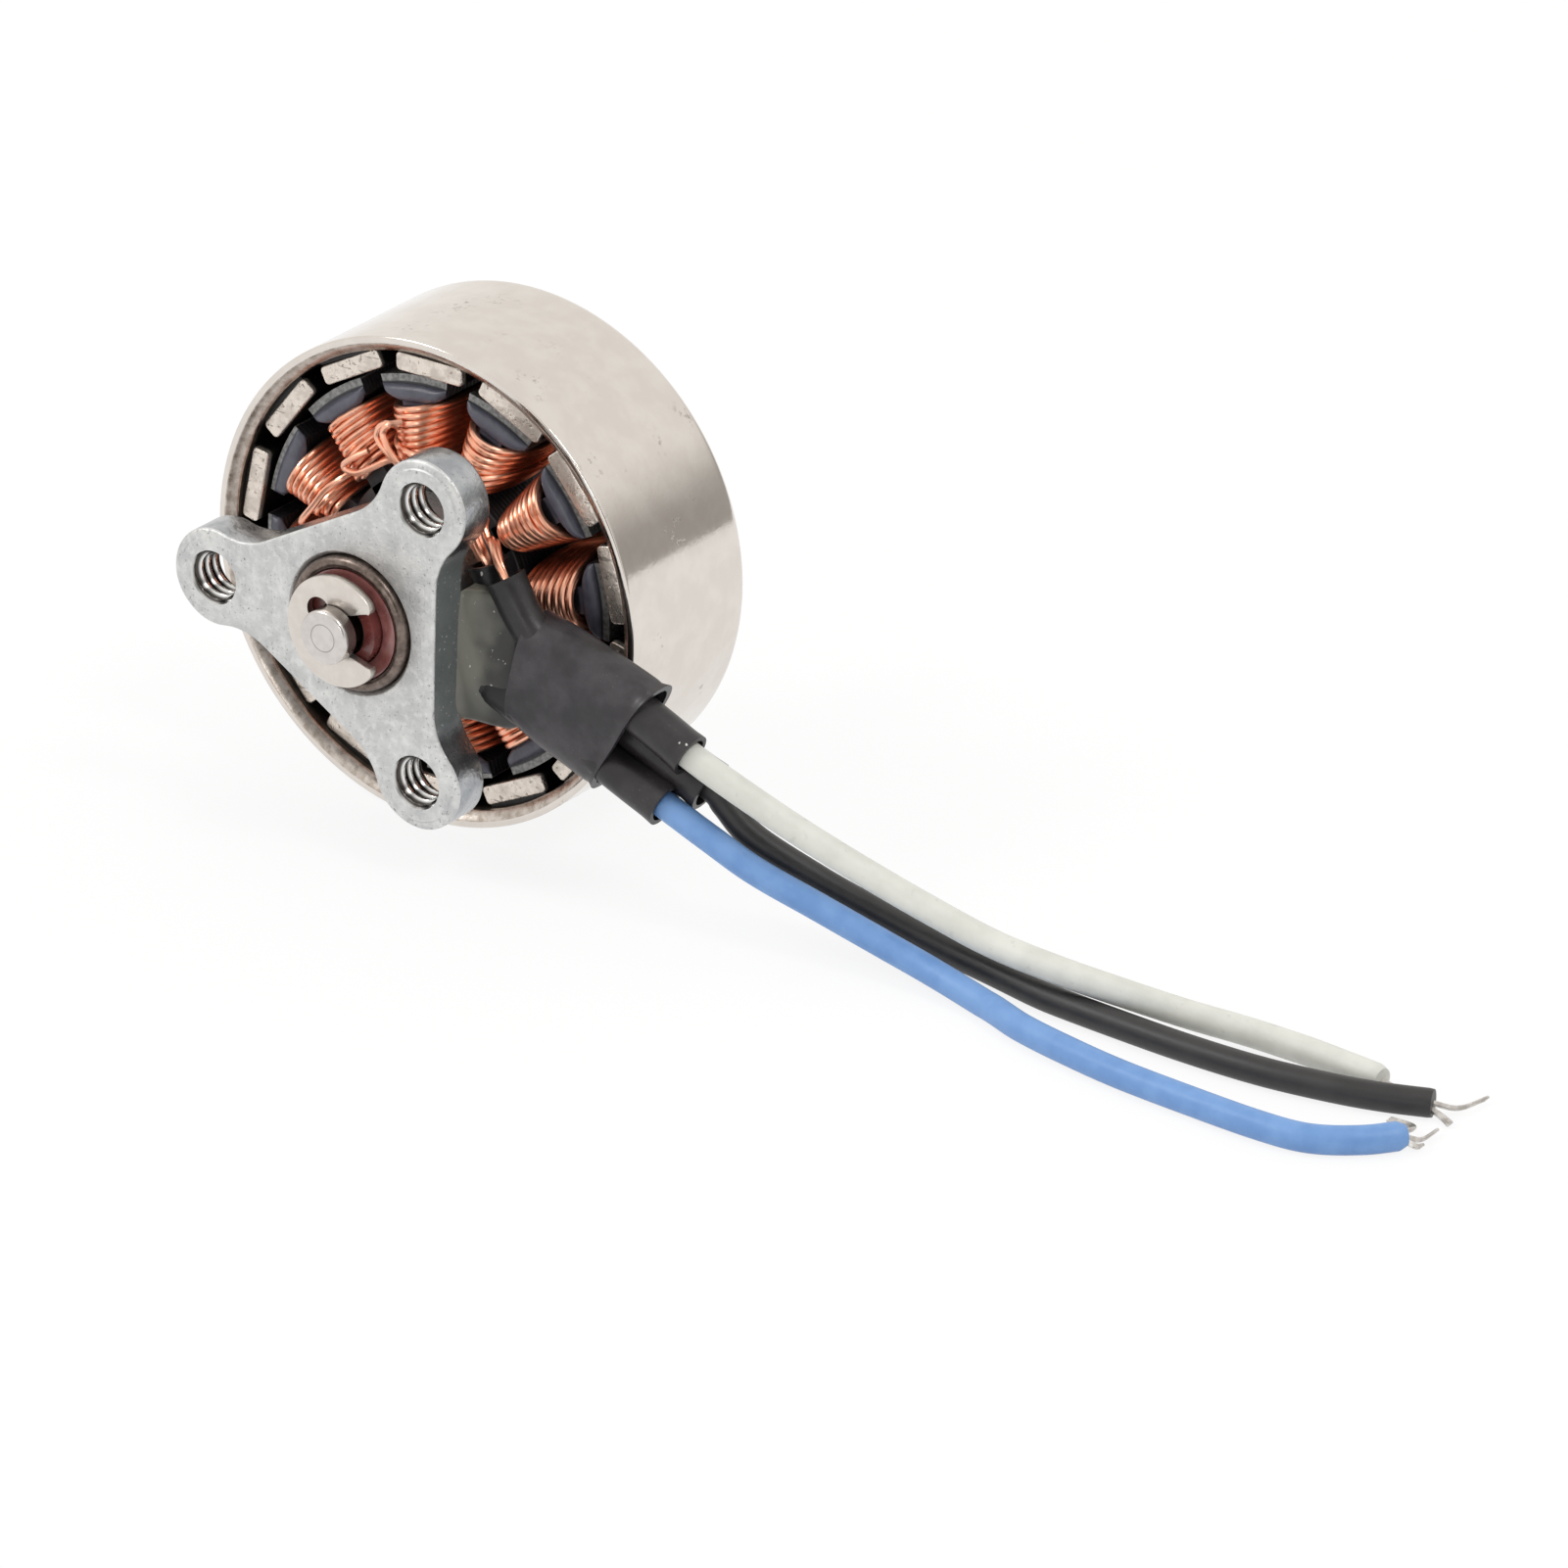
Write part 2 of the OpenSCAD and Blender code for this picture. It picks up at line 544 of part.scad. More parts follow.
adhesive_reach = 1.1;    // how far the adhesive stands out of the base's edge
adhesive_top_share = 0.62;
adhesive_low_share = 1.35;
module lead_adhesive() {
    near = web_edge + fit;
    far = web_edge + adhesive_reach;
    top = fillet_along * adhesive_top_share;
    low = fillet_along * adhesive_low_share;
    clear = web_edge + (adhesive_low_share - 1) * web_fillet_r / 2;
    color([0.42, 0.44, 0.4]) on_shaft() rotate(lug_turn - lug_step / 2)
        web_prism([[near, top], [near, -fillet_along], [clear, -low], [far, -low], [far, top]],
                  plate_t / 2, plate_t);
}

// Bell, hub and shaft
module bell() {
    color([0.82, 0.8, 0.78]) on_shaft() difference() {
        turned(concat(
            [[skirt_r, rim_gap], [bell_r, rim_gap]],
            [for (a = [0:15:90]) [bell_r - bell_edge_r + bell_edge_r * cos(a),
                                  bell_end - bell_edge_r + bell_edge_r * sin(a)]],
            [[hub_neck_r + fit, bell_end], [hub_neck_r + fit, bell_floor], [skirt_r, bell_floor]]));
        for (i = [0:vent_count - 1]) rotate(i * 360 / vent_count)
            translate([vent_circle_r, 0, 0]) barrel(vent_d / 2, bell_floor - over, bell_end + over);
    }
}

module hub_bush() {
    color([0.75, 0.65, 0.42]) on_shaft() turned([
        [shaft_r + fit, hub_face], [hub_r, hub_face], [hub_r, bell_floor], [hub_neck_r, bell_floor],
        [hub_neck_r, bell_end + hub_boss_h], [shaft_r + fit, bell_end + hub_boss_h]]);
}

module shaft() {
    tip = -tail_len;
    end = bell_end + output_len;
    groove_r = groove_d / 2;
    c = shaft_chamfer;
    relief_r = shaft_r - relief_depth;
    relief_from = bell_end + hub_boss_h + c;
    relief_to = relief_from + relief_w;
    color([0.82, 0.81, 0.8]) on_shaft() turned([
        [0, tip], [shaft_r - c, tip], [shaft_r, tip + c], [shaft_r, clip_front - fit],
        [groove_r, clip_front - fit], [groove_r, clip_back + fit], [shaft_r, clip_back + fit],
        [shaft_r, relief_from], [relief_r, relief_from], [relief_r, relief_to], [shaft_r, relief_to],
        [shaft_r, end - c], [shaft_r - c, end], [0, end]]);
}

mouth_share = 0.58;      // width of the clip's mouth at the shaft against its rim
notch_turn = 131;        // angle of a relief notch from the clip's mouth
notch_out_share = 0.55;  // how far a notch's middle lies outside the clip's grip
module retaining_clip() {
    clip_r = clip_d / 2;
    grip_r = groove_d / 2 + fit;
    notch_at = grip_r + clip_notch_r * notch_out_share;
    color([0.84, 0.8, 0.77]) on_shaft() difference() {
        barrel(clip_r, clip_front, clip_back);
        barrel(grip_r, clip_front - over, clip_back + over);
        web_prism([[0, -clip_mouth_w * mouth_share / 2], [clip_r + over, -clip_mouth_w / 2],
                   [clip_r + over, clip_mouth_w / 2], [0, clip_mouth_w * mouth_share / 2]],
                  clip_front - over, clip_back + over);
        for (side = [-1, 1]) rotate(side * notch_turn)
            translate([notch_at, 0, 0]) barrel(clip_notch_r, clip_front - over, clip_back + over);
    }
}

module shim_washers() {
    color([0.7, 0.68, 0.66]) on_shaft() {
        tube(inner_land_r, shaft_r + fit, clip_back, rear_face);
        tube(inner_land_r, shaft_r + fit, front_face, hub_face);
    }
}

// Magnets and the glue behind them
magnet_back = sqrt(pow(skirt_r - run, 2) - pow(magnet_w / 2, 2));
glue_inset = 0.1;
module magnet(i) {
    color([0.72, 0.69, 0.65]) on_shaft() rotate(magnet_turn + (i - 1) * magnet_step)
        translate([magnet_back - magnet_t, -magnet_w / 2, -magnet_start - magnet_len])
            cube([magnet_t, magnet_w, magnet_len]);
}
module magnet_adhesive() {
    color([0.12, 0.11, 0.1]) on_shaft() for (i = [0:magnet_count - 1])
        rotate(magnet_turn + i * magnet_step) intersection() {
            translate([0, 0, -magnet_start - magnet_len + glue_inset])
                cylinder(r = skirt_r, h = magnet_len - 2 * glue_inset, $fn = 720);
            translate([magnet_back, glue_inset - magnet_w / 2, -magnet_start - magnet_len])
                cube([bell_wall, magnet_w - 2 * glue_inset, magnet_len]);
        }
}

mount_base();
rear_bearing_outer_ring();
front_bearing_outer_ring();
rear_bearing_seals();
front_bearing_seals();
stator_core();
rear_insulation();
front_insulation();
phase_tails();
solder_joints();
lead_white();
lead_black();
lead_blue();
strands_white();
strands_black();
strands_blue();
joint_sleeve_white();
joint_sleeve_black();
joint_sleeve_blue();
wrap_sleeve();
lead_adhesive();
bell();
hub_bush();
shaft();
retaining_clip();
shim_washers();
magnet_adhesive();
rear_bearing_inner_ring();
front_bearing_inner_ring();
rear_bearing_balls();
rear_bearing_cage();
front_bearing_balls();
front_bearing_cage();
for (i = [1:tooth_count]) coil(i);
for (i = [1:magnet_count]) magnet(i);
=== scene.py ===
# %% [markdown]
# # A small brushless motor, dressed around its CAD frame
#
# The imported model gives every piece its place. This notebook adds what a camera sees: rounded cast
# edges, cut threads, hundreds of turns of copper, soft leads and worn plating. Lengths are thought
# of in millimetres, because the whole motor is the size of a thimble, and turned to metres when a
# mesh is made. The shaft runs along Y, the mount face looks towards -Y and Z is up.

# %% Load the frame
import json
import math

import bmesh
import bpy
import numpy as np
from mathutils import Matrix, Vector
from mathutils.geometry import delaunay_2d_cdt


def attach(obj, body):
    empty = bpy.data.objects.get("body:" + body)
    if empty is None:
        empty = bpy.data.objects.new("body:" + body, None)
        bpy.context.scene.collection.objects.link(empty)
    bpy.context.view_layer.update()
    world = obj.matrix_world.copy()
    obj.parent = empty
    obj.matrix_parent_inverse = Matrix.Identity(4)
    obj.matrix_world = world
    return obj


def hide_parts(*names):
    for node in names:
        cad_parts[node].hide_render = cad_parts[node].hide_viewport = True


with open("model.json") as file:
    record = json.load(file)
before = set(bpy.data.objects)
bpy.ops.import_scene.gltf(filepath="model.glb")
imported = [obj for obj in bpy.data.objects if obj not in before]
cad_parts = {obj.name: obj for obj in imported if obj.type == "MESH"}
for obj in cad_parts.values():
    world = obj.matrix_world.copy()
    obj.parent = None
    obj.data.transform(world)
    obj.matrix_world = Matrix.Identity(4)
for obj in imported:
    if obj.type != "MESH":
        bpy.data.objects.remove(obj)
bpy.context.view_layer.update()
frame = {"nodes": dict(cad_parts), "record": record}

MM = 0.001

# %% [markdown]
# ## Camera
#
# The photo was taken with a long lens from well above the table, so parallel edges stay nearly
# parallel. Three lug holes on a known circle fix the angle, and the bell's width fixes the lens.

# %% Camera
PHOTO_PX = 1601
FOCAL_PX = 9846
SENSOR_MM = 36
TURN = math.radians(35.39)
RISE = math.radians(24.779)
EYE_MM = Vector((189.214, -240.363, 134.936))

lens = bpy.data.cameras.new("camera")
lens.sensor_width = SENSOR_MM
lens.lens = FOCAL_PX / PHOTO_PX * SENSOR_MM
lens.clip_start = 0.01
camera = bpy.data.objects.new("camera", lens)
camera.location = EYE_MM * MM
camera.rotation_euler = (math.pi / 2 - RISE, 0, TURN)
bpy.context.scene.collection.objects.link(camera)
bpy.context.scene.camera = camera
bpy.context.scene.view_settings.view_transform = "Standard"
print("lens", round(lens.lens, 1), "mm")


# %% [markdown]
# ## Shader maths in plain Python
#
# A node tree is easier to read as a formula. `Value` wraps one socket, and the operators on it add
# Math nodes. Every other node comes from `Tree.add`, which takes the node's type, what goes into its
# sockets, the number of the output that is wanted, and the node's settings by name.

# %% Shader maths
class Value:
    """A number or colour that comes out of a node."""

    def __init__(self, tree, socket):
        self.tree, self.socket = tree, socket

    def maths(self, operation, *others):
        """A Math node with this value in its first socket and the others after it."""
        return self.tree.add("Math", dict(enumerate((self, *others))), operation=operation)

    def __add__(self, other):
        return self.maths("ADD", other)

    def __mul__(self, other):
        return self.maths("MULTIPLY", other)

    __radd__, __rmul__ = __add__, __mul__

    def __sub__(self, other):
        return self.maths("SUBTRACT", other)

    def __rsub__(self, other):
        return self.tree.add("Math", {0: other, 1: self}, operation="SUBTRACT")

    def __pow__(self, other):
        return self.maths("POWER", other)

    def step(self, low, high):
        """0 below low, 1 above high and a smooth rise between."""
        sockets = {"Value": self, "From Min": low, "From Max": high}
        return self.tree.add("MapRange", sockets, interpolation_type="SMOOTHSTEP")


class Tree:
    """A node tree that is written as a formula."""

    def __init__(self, owner):
        owner.use_nodes = True
        self.nodes, self.links = owner.node_tree.nodes, owner.node_tree.links
        self.nodes.clear()

    def add(self, kind, sockets=None, out=0, **settings):
        """One node. Its settings are set first, then its sockets get their values or links."""
        node = self.nodes.new("ShaderNode" + kind)
        for name, setting in settings.items():
            setattr(node, name, setting)
        for name, value in (sockets or {}).items():
            if isinstance(value, Value):
                self.links.new(value.socket, node.inputs[name])
            else:
                node.inputs[name].default_value = value
        return Value(self, node.outputs[out])

    def blend(self, factor, first, second):
        """first where factor is 0 and second where it is 1."""
        return self.add("Mix", {0: factor, 6: rgba(first), 7: rgba(second)}, out=2, data_type="RGBA")

    def parts(self, vector):
        """A vector's X, Y and Z."""
        outputs = self.add("SeparateXYZ", {0: vector}).socket.node.outputs
        return [Value(self, outputs[i]) for i in range(3)]

    def output(self, kind, surface):
        """Ends the tree: the surface goes into an output node of that kind."""
        self.links.new(surface.socket, self.nodes.new(kind).inputs["Surface"])


def rgba(colour):
    """Three numbers with full alpha; a value that comes from a node stays as it is."""
    return colour if isinstance(colour, Value) else (*colour, 1)


# %% [markdown]
# ## Floor and light
#
# The sheet under the motor runs out to pure white in the photo, yet the right side of the nickel
# bell shows a soft dark band: the gap between the end of the table and the bottom of the light
# above it, with the dim room behind. The copper shows a second dim place, round the camera itself.
# The world holds both as gradients over direction. The camera itself only sees white, through Is
# Camera Ray, so the background's brightness never has to come from stronger lamps.

# %% Floor and light
FLOOR_MM = -9.1
FLOOR_REACH = 0.13
LAMP_AIM = Vector((0.01, 0.005, 0))
SHADOW_SHARE = 0.14
GAP_LIGHT = (0.42, 0.405, 0.385)
CAMERA_LIGHT = (0.18, 0.18, 0.18)
# How far right, forwards and up the camera lies, as a direction
TO_CAMERA = (0.526, 0.740, 0.419)
SKY_LIGHT = (0.98, 0.965, 0.94)

world = bpy.data.worlds.new("studio")
bpy.context.scene.world = world
sky = Tree(world)
right, back, height = sky.parts(sky.add("TexCoord"))
gap = (1 - height.step(0.08, 0.46)) * right.step(-0.1, 0.4) * back.step(-0.3, 0.2)
lens_side = (right * TO_CAMERA[0] - back * TO_CAMERA[1] + height * TO_CAMERA[2]).step(0.80, 0.96)
glow = sky.blend(gap, SKY_LIGHT, GAP_LIGHT)
glow = sky.blend(lens_side * 0.85, glow, CAMERA_LIGHT)
seen = sky.add("LightPath")
light = sky.add("Background", {"Color": glow, "Strength": 1.0})
white = sky.add("Background", {"Color": (1, 1, 1, 1), "Strength": 1.0})
sky.output("ShaderNodeOutputWorld", sky.add("MixShader", {0: seen, 1: light, 2: white}))

sheet = bpy.data.materials.new("paper_sheet")
paper = Tree(sheet)
matte = paper.add("BsdfDiffuse", {"Color": (0.86, 0.86, 0.86, 1)})
bright = paper.add("Emission", {"Color": (1, 1, 1, 1), "Strength": 1.0})
eye_or_gloss = paper.add("LightPath") + paper.add("LightPath", out=3)
mostly = eye_or_gloss * (1 - SHADOW_SHARE)
paper.output("ShaderNodeOutputMaterial", paper.add("MixShader", {0: mostly, 1: matte, 2: bright}))

corners = [(x * FLOOR_REACH, y * FLOOR_REACH, FLOOR_MM * MM)
           for x, y in ((-1, -1), (1, -1), (1, 1), (-1, 1))]
floor_mesh = bpy.data.meshes.new("floor")
floor_mesh.from_pydata(corners, [], [(0, 1, 2, 3)])
floor_mesh.materials.append(sheet)
floor = bpy.data.objects.new("floor", floor_mesh)
bpy.context.scene.collection.objects.link(floor)


def softbox(name, place, size, power):
    """A square lamp of that size in metres, aimed at the motor."""
    lamp = bpy.data.lights.new(name, "AREA")
    lamp.size, lamp.energy = size, power
    box = bpy.data.objects.new(name, lamp)
    box.location = place
    box.rotation_euler = (LAMP_AIM - box.location).to_track_quat("-Z", "Y").to_euler()
    bpy.context.scene.collection.objects.link(box)


softbox("key_left", (-0.45, -0.35, 0.55), 0.22, 1.5)
softbox("top_right", (0.42, -0.05, 0.6), 0.18, 1.1)
softbox("front_low", (0.2, -0.7, 0.18), 0.12, 0.35)
print("lamps:", [lamp.name for lamp in bpy.data.lights])


# %% [markdown]
# ## Surfaces as grids
#
# Each new piece is a function of two parameters, worked out for the whole grid at once. `grid`
# turns the array of points into quads, `lathe` turns a profile about the shaft, and `sweep` carries
# a section along a path. `piece` joins such patches, merges them where they meet, turns every face
# outwards and hands the result to the body that it rides on.

# %% Grids, lathes and sweeps
def grid(points, wrap=True, paint=0):
    """Quads over points of shape (rows, columns, 3); wrap joins the last column to the first."""
    rows, columns = points.shape[:2]
    across = columns if wrap else columns - 1
    a = np.arange(rows - 1)[:, None] * columns + np.arange(across)[None, :]
    b = np.arange(rows - 1)[:, None] * columns + (np.arange(across)[None, :] + 1) % columns
    faces = np.stack([a, b, b + columns, a + columns], axis=-1).reshape(-1, 4)
    return points.reshape(-1, 3), faces, paint


def fan(ring):
    """Closes a ring of points with triangles from its middle."""
    count = len(ring)
    points = np.vstack([ring, ring.mean(0)])
    first = np.arange(count)
    return points, np.stack([first, (first + 1) % count, np.full(count, count)], axis=-1), 0


def capped(rings):
    """A closed shape: a grid of rings with both end rings filled."""
    return [grid(rings), fan(rings[0]), fan(rings[-1])]


def turned(points, angle):
    """Points (a, b) turned by an angle, from the first axis towards the second."""
    c, s = np.cos(angle), np.sin(angle)
    a, b = points[..., 0], points[..., 1]
    return np.stack([a * c - b * s, a * s + b * c], axis=-1)


def raised(points, along):
    """Level points (x, z) put at a distance along the shaft."""
    return np.stack(np.broadcast_arrays(points[..., 0], along, points[..., 1]), axis=-1)


def polar(radius, angle, along):
    """Points at a radius and an angle about the shaft, the angle from +X towards +Z."""
    return np.stack(np.broadcast_arrays(radius * np.cos(angle), along, radius * np.sin(angle)), axis=-1)


def around(count):
    """Angles that share one whole turn equally."""
    return np.arange(count) * (2 * np.pi / count)


def lathe(profile, count=96, paint=0):
    """A profile of (radius, distance along the shaft) turned about the shaft."""
    profile = np.asarray(profile, float)
    return grid(polar(profile[:, :1], around(count)[None, :], profile[:, 1:]), paint=paint)


def corner(centre, radius, start, end, steps=6):
    """A quarter round or other arc of a profile, angles in degrees."""
    turn = np.radians(np.linspace(start, end, steps + 1))
    return [(centre[0] + radius * np.cos(t), centre[1] + radius * np.sin(t)) for t in turn]


# %% Paths and level faces
def smooth(route, spacing):
    """Points every spacing mm or so on one Catmull-Rom curve through the route's points."""
    route = np.asarray(route, float)
    route = np.vstack([2 * route[0] - route[1], route, 2 * route[-1] - route[-2]])
    p0, p1, p2, p3 = (route[i:len(route) - 3 + i][:, None] for i in range(4))
    steps = int(np.ceil(np.linalg.norm(p2 - p1, axis=2).max() / spacing))
    t = np.linspace(0, 1, steps, endpoint=False)[None, :, None]
    curve = 0.5 * (2 * p1 + (p2 - p0) * t + (2 * p0 - 5 * p1 + 4 * p2 - p3) * t**2
                   + (3 * p1 - p0 - 3 * p2 + p3) * t**3)
    return np.vstack([curve.reshape(-1, 3), route[-2]])


def spokes(path, turn, guide=(0, 1, 0)):
    """Unit vectors square to a path, at each angle; at no angle they are square to the guide too."""
    ahead = np.gradient(path, axis=0)
    ahead /= np.linalg.norm(ahead, axis=1)[:, None]
    side = np.cross(ahead, guide)
    side /= np.linalg.norm(side, axis=1)[:, None]
    up = np.cross(side, ahead)
    return np.cos(turn)[..., None] * side[:, None] + np.sin(turn)[..., None] * up[:, None]


def sweep(path, radius, sides, guide=(0, 1, 0)):
    """A round section carried along a path. radius is a number, or one for each point."""
    radius = np.broadcast_to(radius, len(path))[:, None, None]
    return capped(path[:, None] + radius * spokes(path, around(sides)[None], guide))


def flat(loops, along):
    """Fills the level region inside the first loop and outside the others; loops hold (x, z)."""
    points = np.vstack(loops)
    edges, start = [], 0
    for loop in loops:
        edges += [(start + i, start + (i + 1) % len(loop)) for i in range(len(loop))]
        start += len(loop)
    places, _, faces, *_ = delaunay_2d_cdt([Vector(p) for p in points], edges, [], 0, 1e-7)
    places, faces = np.array([tuple(p) for p in places]), np.array(faces)
    middle = places[faces].mean(1)
    keep = inside(middle, loops[0])
    for loop in loops[1:]:
        keep &= ~inside(middle, loop)
    return raised(places, along), faces[keep], 0


def inside(points, loop):
    """Even-odd rule: a point is inside if a ray from it crosses the loop an odd number of times."""
    a, b = loop[None], np.roll(loop, -1, 0)[None]
    x, y = points[:, :1], points[:, 1:]
    spans = (a[..., 1] > y) != (b[..., 1] > y)
    rise = np.where(b[..., 1] == a[..., 1], 1, b[..., 1] - a[..., 1])
    cross = a[..., 0] + (y - a[..., 1]) / rise * (b[..., 0] - a[..., 0])
    return (spans & (x < cross)).sum(1) % 2 == 1


# %% One object from its patches
def piece(name, patches, body, slot, replaces, crease=35, finishes=()):
    """One object made of patches in mm. Paint picks from finishes, or the piece wears its slot's."""
    points = np.vstack([p for p, _, _ in patches]) * MM
    starts = np.cumsum([0] + [len(p) for p, _, _ in patches[:-1]])
    faces = [f for (_, quads, _), s in zip(patches, starts) for f in (quads + s).tolist()]
    paints = np.concatenate([np.full(len(quads), paint) for _, quads, paint in patches])
    mesh = bpy.data.meshes.new(name)
    mesh.from_pydata(points.tolist(), [], faces)
    mesh.polygons.foreach_set("material_index", paints.astype(np.int32))
    mesh.polygons.foreach_set("use_smooth", np.ones(len(faces), bool))
    solid = bmesh.new()
    solid.from_mesh(mesh)
    bmesh.ops.remove_doubles(solid, verts=solid.verts, dist=2e-7)
    bmesh.ops.recalc_face_normals(solid, faces=solid.faces)
    open_edges = sum(not e.is_manifold for e in solid.edges)
    solid.to_mesh(mesh)
    solid.free()
    mesh.set_sharp_from_angle(angle=math.radians(crease))
    for finish in finishes or (slot,):
        mesh.materials.append(FINISH[finish])
    made = bpy.data.objects.new(name, mesh)
    bpy.context.scene.collection.objects.link(made)
    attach(made, body)
    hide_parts(replaces)
    print(name, len(mesh.polygons), "faces", f"{open_edges} open edges" if open_edges else "")
    return made


# %% [markdown]
# ## Finishes
#
# The real motor is mostly bare metal, so its looks come from roughness and small marks more than
# from colour. Each finish below starts from one shared surface, `Finish`, which measures places in
# millimetres on the object itself, so a scratch stays where it is when the bell turns.

# %% Lug holes
MOUNT_R = 6.0
LUG_TURN = math.radians(57.7)
THIRD = 2 * math.pi / 3
LUGS = polar(MOUNT_R, LUG_TURN + THIRD * np.arange(3), 0.0)
print("lug holes in mm:", LUGS.round(2).tolist())


# %% One surface for all finishes
class Finish(Tree):
    """A Principled surface whose patterns are measured in mm."""

    def __init__(self, name):
        self.material = bpy.data.materials.new(name)
        super().__init__(self.material)
        metres = self.add("TexCoord", out=3)
        self.place = self.add("VectorMath", {0: metres, "Scale": 1 / MM}, operation="SCALE")

    def noise(self, scale, detail=3.0, place=None, rough=0.55):
        """Cloudy noise of that many bumps per mm, around one half."""
        sockets = {"Vector": place or self.place, "Scale": scale, "Detail": detail, "Roughness": rough}
        return self.add("TexNoise", sockets)

    def stretched(self, x, y, z):
        """The place with each axis scaled, for marks that run along one of them."""
        return self.add("Mapping", {"Vector": self.place, "Scale": (x, y, z)})

    def clouded(self, low, high, scale, detail=3.0, span=(0.3, 0.7), rough=0.55):
        """A cloudy pattern, and the tone that it makes between low and high."""
        cloud = self.noise(scale, detail, rough=rough)
        return cloud, self.blend(cloud.step(*span), low, high)

    def rings(self, turn, along, out):
        """The angle about the shaft, the place along it and the radius, each scaled."""
        place = {0: self.angle() * turn, 1: self.axes()[1] * along, 2: self.radius() * out}
        return self.add("CombineXYZ", place)

    def away(self, centre, place=None):
        """The distance in mm from a point."""
        return self.add("VectorMath", {0: place or self.place, 1: centre}, out=1, operation="DISTANCE")

    def axes(self):
        return self.parts(self.place)

    def radius(self):
        x, _, z = self.axes()
        return (x * x + z * z) ** 0.5

    def angle(self):
        x, _, z = self.axes()
        return z.maths("ARCTAN2", x)

    def finish(self, colour, metal, rough, height=None, depth=0.0, **more):
        """Ends the material. height is a pattern and depth its relief in mm."""
        sockets = {"Base Color": rgba(colour), "Metallic": metal, "Roughness": rough}
        if height is not None:
            bump = {"Height": height, "Distance": depth * MM, "Strength": 1.0}
            sockets["Normal"] = self.add("Bump", bump)
        sockets.update({name.replace("_", " "): value for name, value in more.items()})
        self.output("ShaderNodeOutputMaterial", self.add("BsdfPrincipled", sockets))
        return self.material


# %% Cast and plated metal
def cast_base():
    """Die-cast zinc: pale neutral grey with fine dark specks, cloudy patches and orange-peel skin."""
    s = Finish("cast_base")
    clouds, tone = s.clouded((0.52, 0.525, 0.525), (0.67, 0.67, 0.66), 0.9, 4.0, (0.3, 0.68))
    grain = s.noise(6.0, 5.0, rough=0.7)
    specks = s.noise(8.0).step(0.60, 0.68) * s.noise(1.1, 2.0).step(0.35, 0.6)
    flakes = s.noise(3.2, 4.0, rough=0.6)
    tone = s.blend(flakes.step(0.54, 0.64) * 0.2, tone, (0.40, 0.41, 0.415))
    tone = s.blend(flakes.step(0.48, 0.38) * 0.3, tone, (0.85, 0.85, 0.84))
    tone = s.blend(grain.step(0.54, 0.70) * 0.5, tone, (0.36, 0.365, 0.37))
    tone = s.blend(specks * 0.7, tone, (0.14, 0.14, 0.145))
    return s.finish(tone, 0.8, grain * 0.2 + 0.28, grain + clouds * 0.5, 0.03)


def cast_side():
    """The casting's side walls: smooth, and painted darker than the face as the shade on them, with a glue
    film beside the leads whose dark tone is partly painted shade too.
    """
    s = Finish("cast_side")
    # Painted shade: the side walls' tone is darker than the face's, for walls that face away from the light.
    clouds, tone = s.clouded((0.34, 0.355, 0.375), (0.50, 0.51, 0.52), 1.4, 4.0)
    specks = s.noise(9.0, 2.0).step(0.64, 0.72)
    tone = s.blend(specks * 0.5, tone, (0.14, 0.145, 0.15))
    x, _, z = s.axes()
    # The film beside the leads is darker still: a glue film, and painted shade where the glue and sleeves
    # crowd the wall.
    film = x.step(3.2, 3.5) * (1 - z.maths("ABSOLUTE").step(2.9, 3.7))
    dust = s.noise(7.0, 2.0).step(0.66, 0.70)
    wet_and_shaded_tone = s.blend(dust * 0.7, s.blend(clouds, (0.10, 0.118, 0.122), (0.17, 0.185, 0.18)), (0.6, 0.62, 0.6))
    tone = s.blend(film, tone, wet_and_shaded_tone)
    return s.finish(tone, 0.95 - film * 0.75, clouds * 0.2 + 0.14 + film * 0.12, s.noise(5.0), 0.02)


def cut_thread():
    """Freshly cut crests, pale, over flanks and grooves that oil and shade keep dark.

    How deep a point is in the thread is its distance from the nearest hole's axis.
    """
    s = Finish("cut_thread")
    level = s.stretched(1.0, 0.0, 1.0)
    depth = 9.0
    for lug in LUGS:
        depth = s.away(lug, level).maths("MINIMUM", depth)
    tone = s.blend(depth.step(0.83, 0.93), (0.78, 0.775, 0.76), (0.07, 0.062, 0.056))
    tone = s.blend((1 - s.axes()[1].step(0.02, 0.12)), tone, (0.62, 0.62, 0.61))
    return s.finish(tone, 1.0, s.noise(4.0) * 0.1 + 0.14)


def nickel_bell():
    """Warm satin nickel with faint round brushing and pits, most of them in three patches."""
    s = Finish("nickel_bell")
    brushing = s.noise(2.0, 3.0, s.rings(3.0, 2.2, 1.0))
    spots = 0
    for centre, reach in (((-1.2, 5.5, 9.0), 0.9), ((3.9, 5.4, 8.2), 0.8), ((-1.0, 7.6, 9.0), 1.1)):
        spots = (1 - s.away(centre).step(0.3 * reach, reach)) + spots
    pits = s.noise(3.4, 4.0, rough=0.65).step(0.54, 0.66) * (spots * 0.75 + s.noise(0.5, 2.0).step(0.6, 0.7))
    blotch, tone = s.clouded((0.70, 0.65, 0.60), (0.745, 0.70, 0.65), 0.9, span=(0.35, 0.7))
    tone = s.blend(pits * 0.6, tone, (0.33, 0.30, 0.27))
    rough = brushing * 0.1 + blotch * 0.05 + pits * 0.15 + 0.05
    return s.finish(tone, 1.0, rough, brushing * 0.4 - pits + s.noise(6.0, 2.0) * 0.35, 0.004)


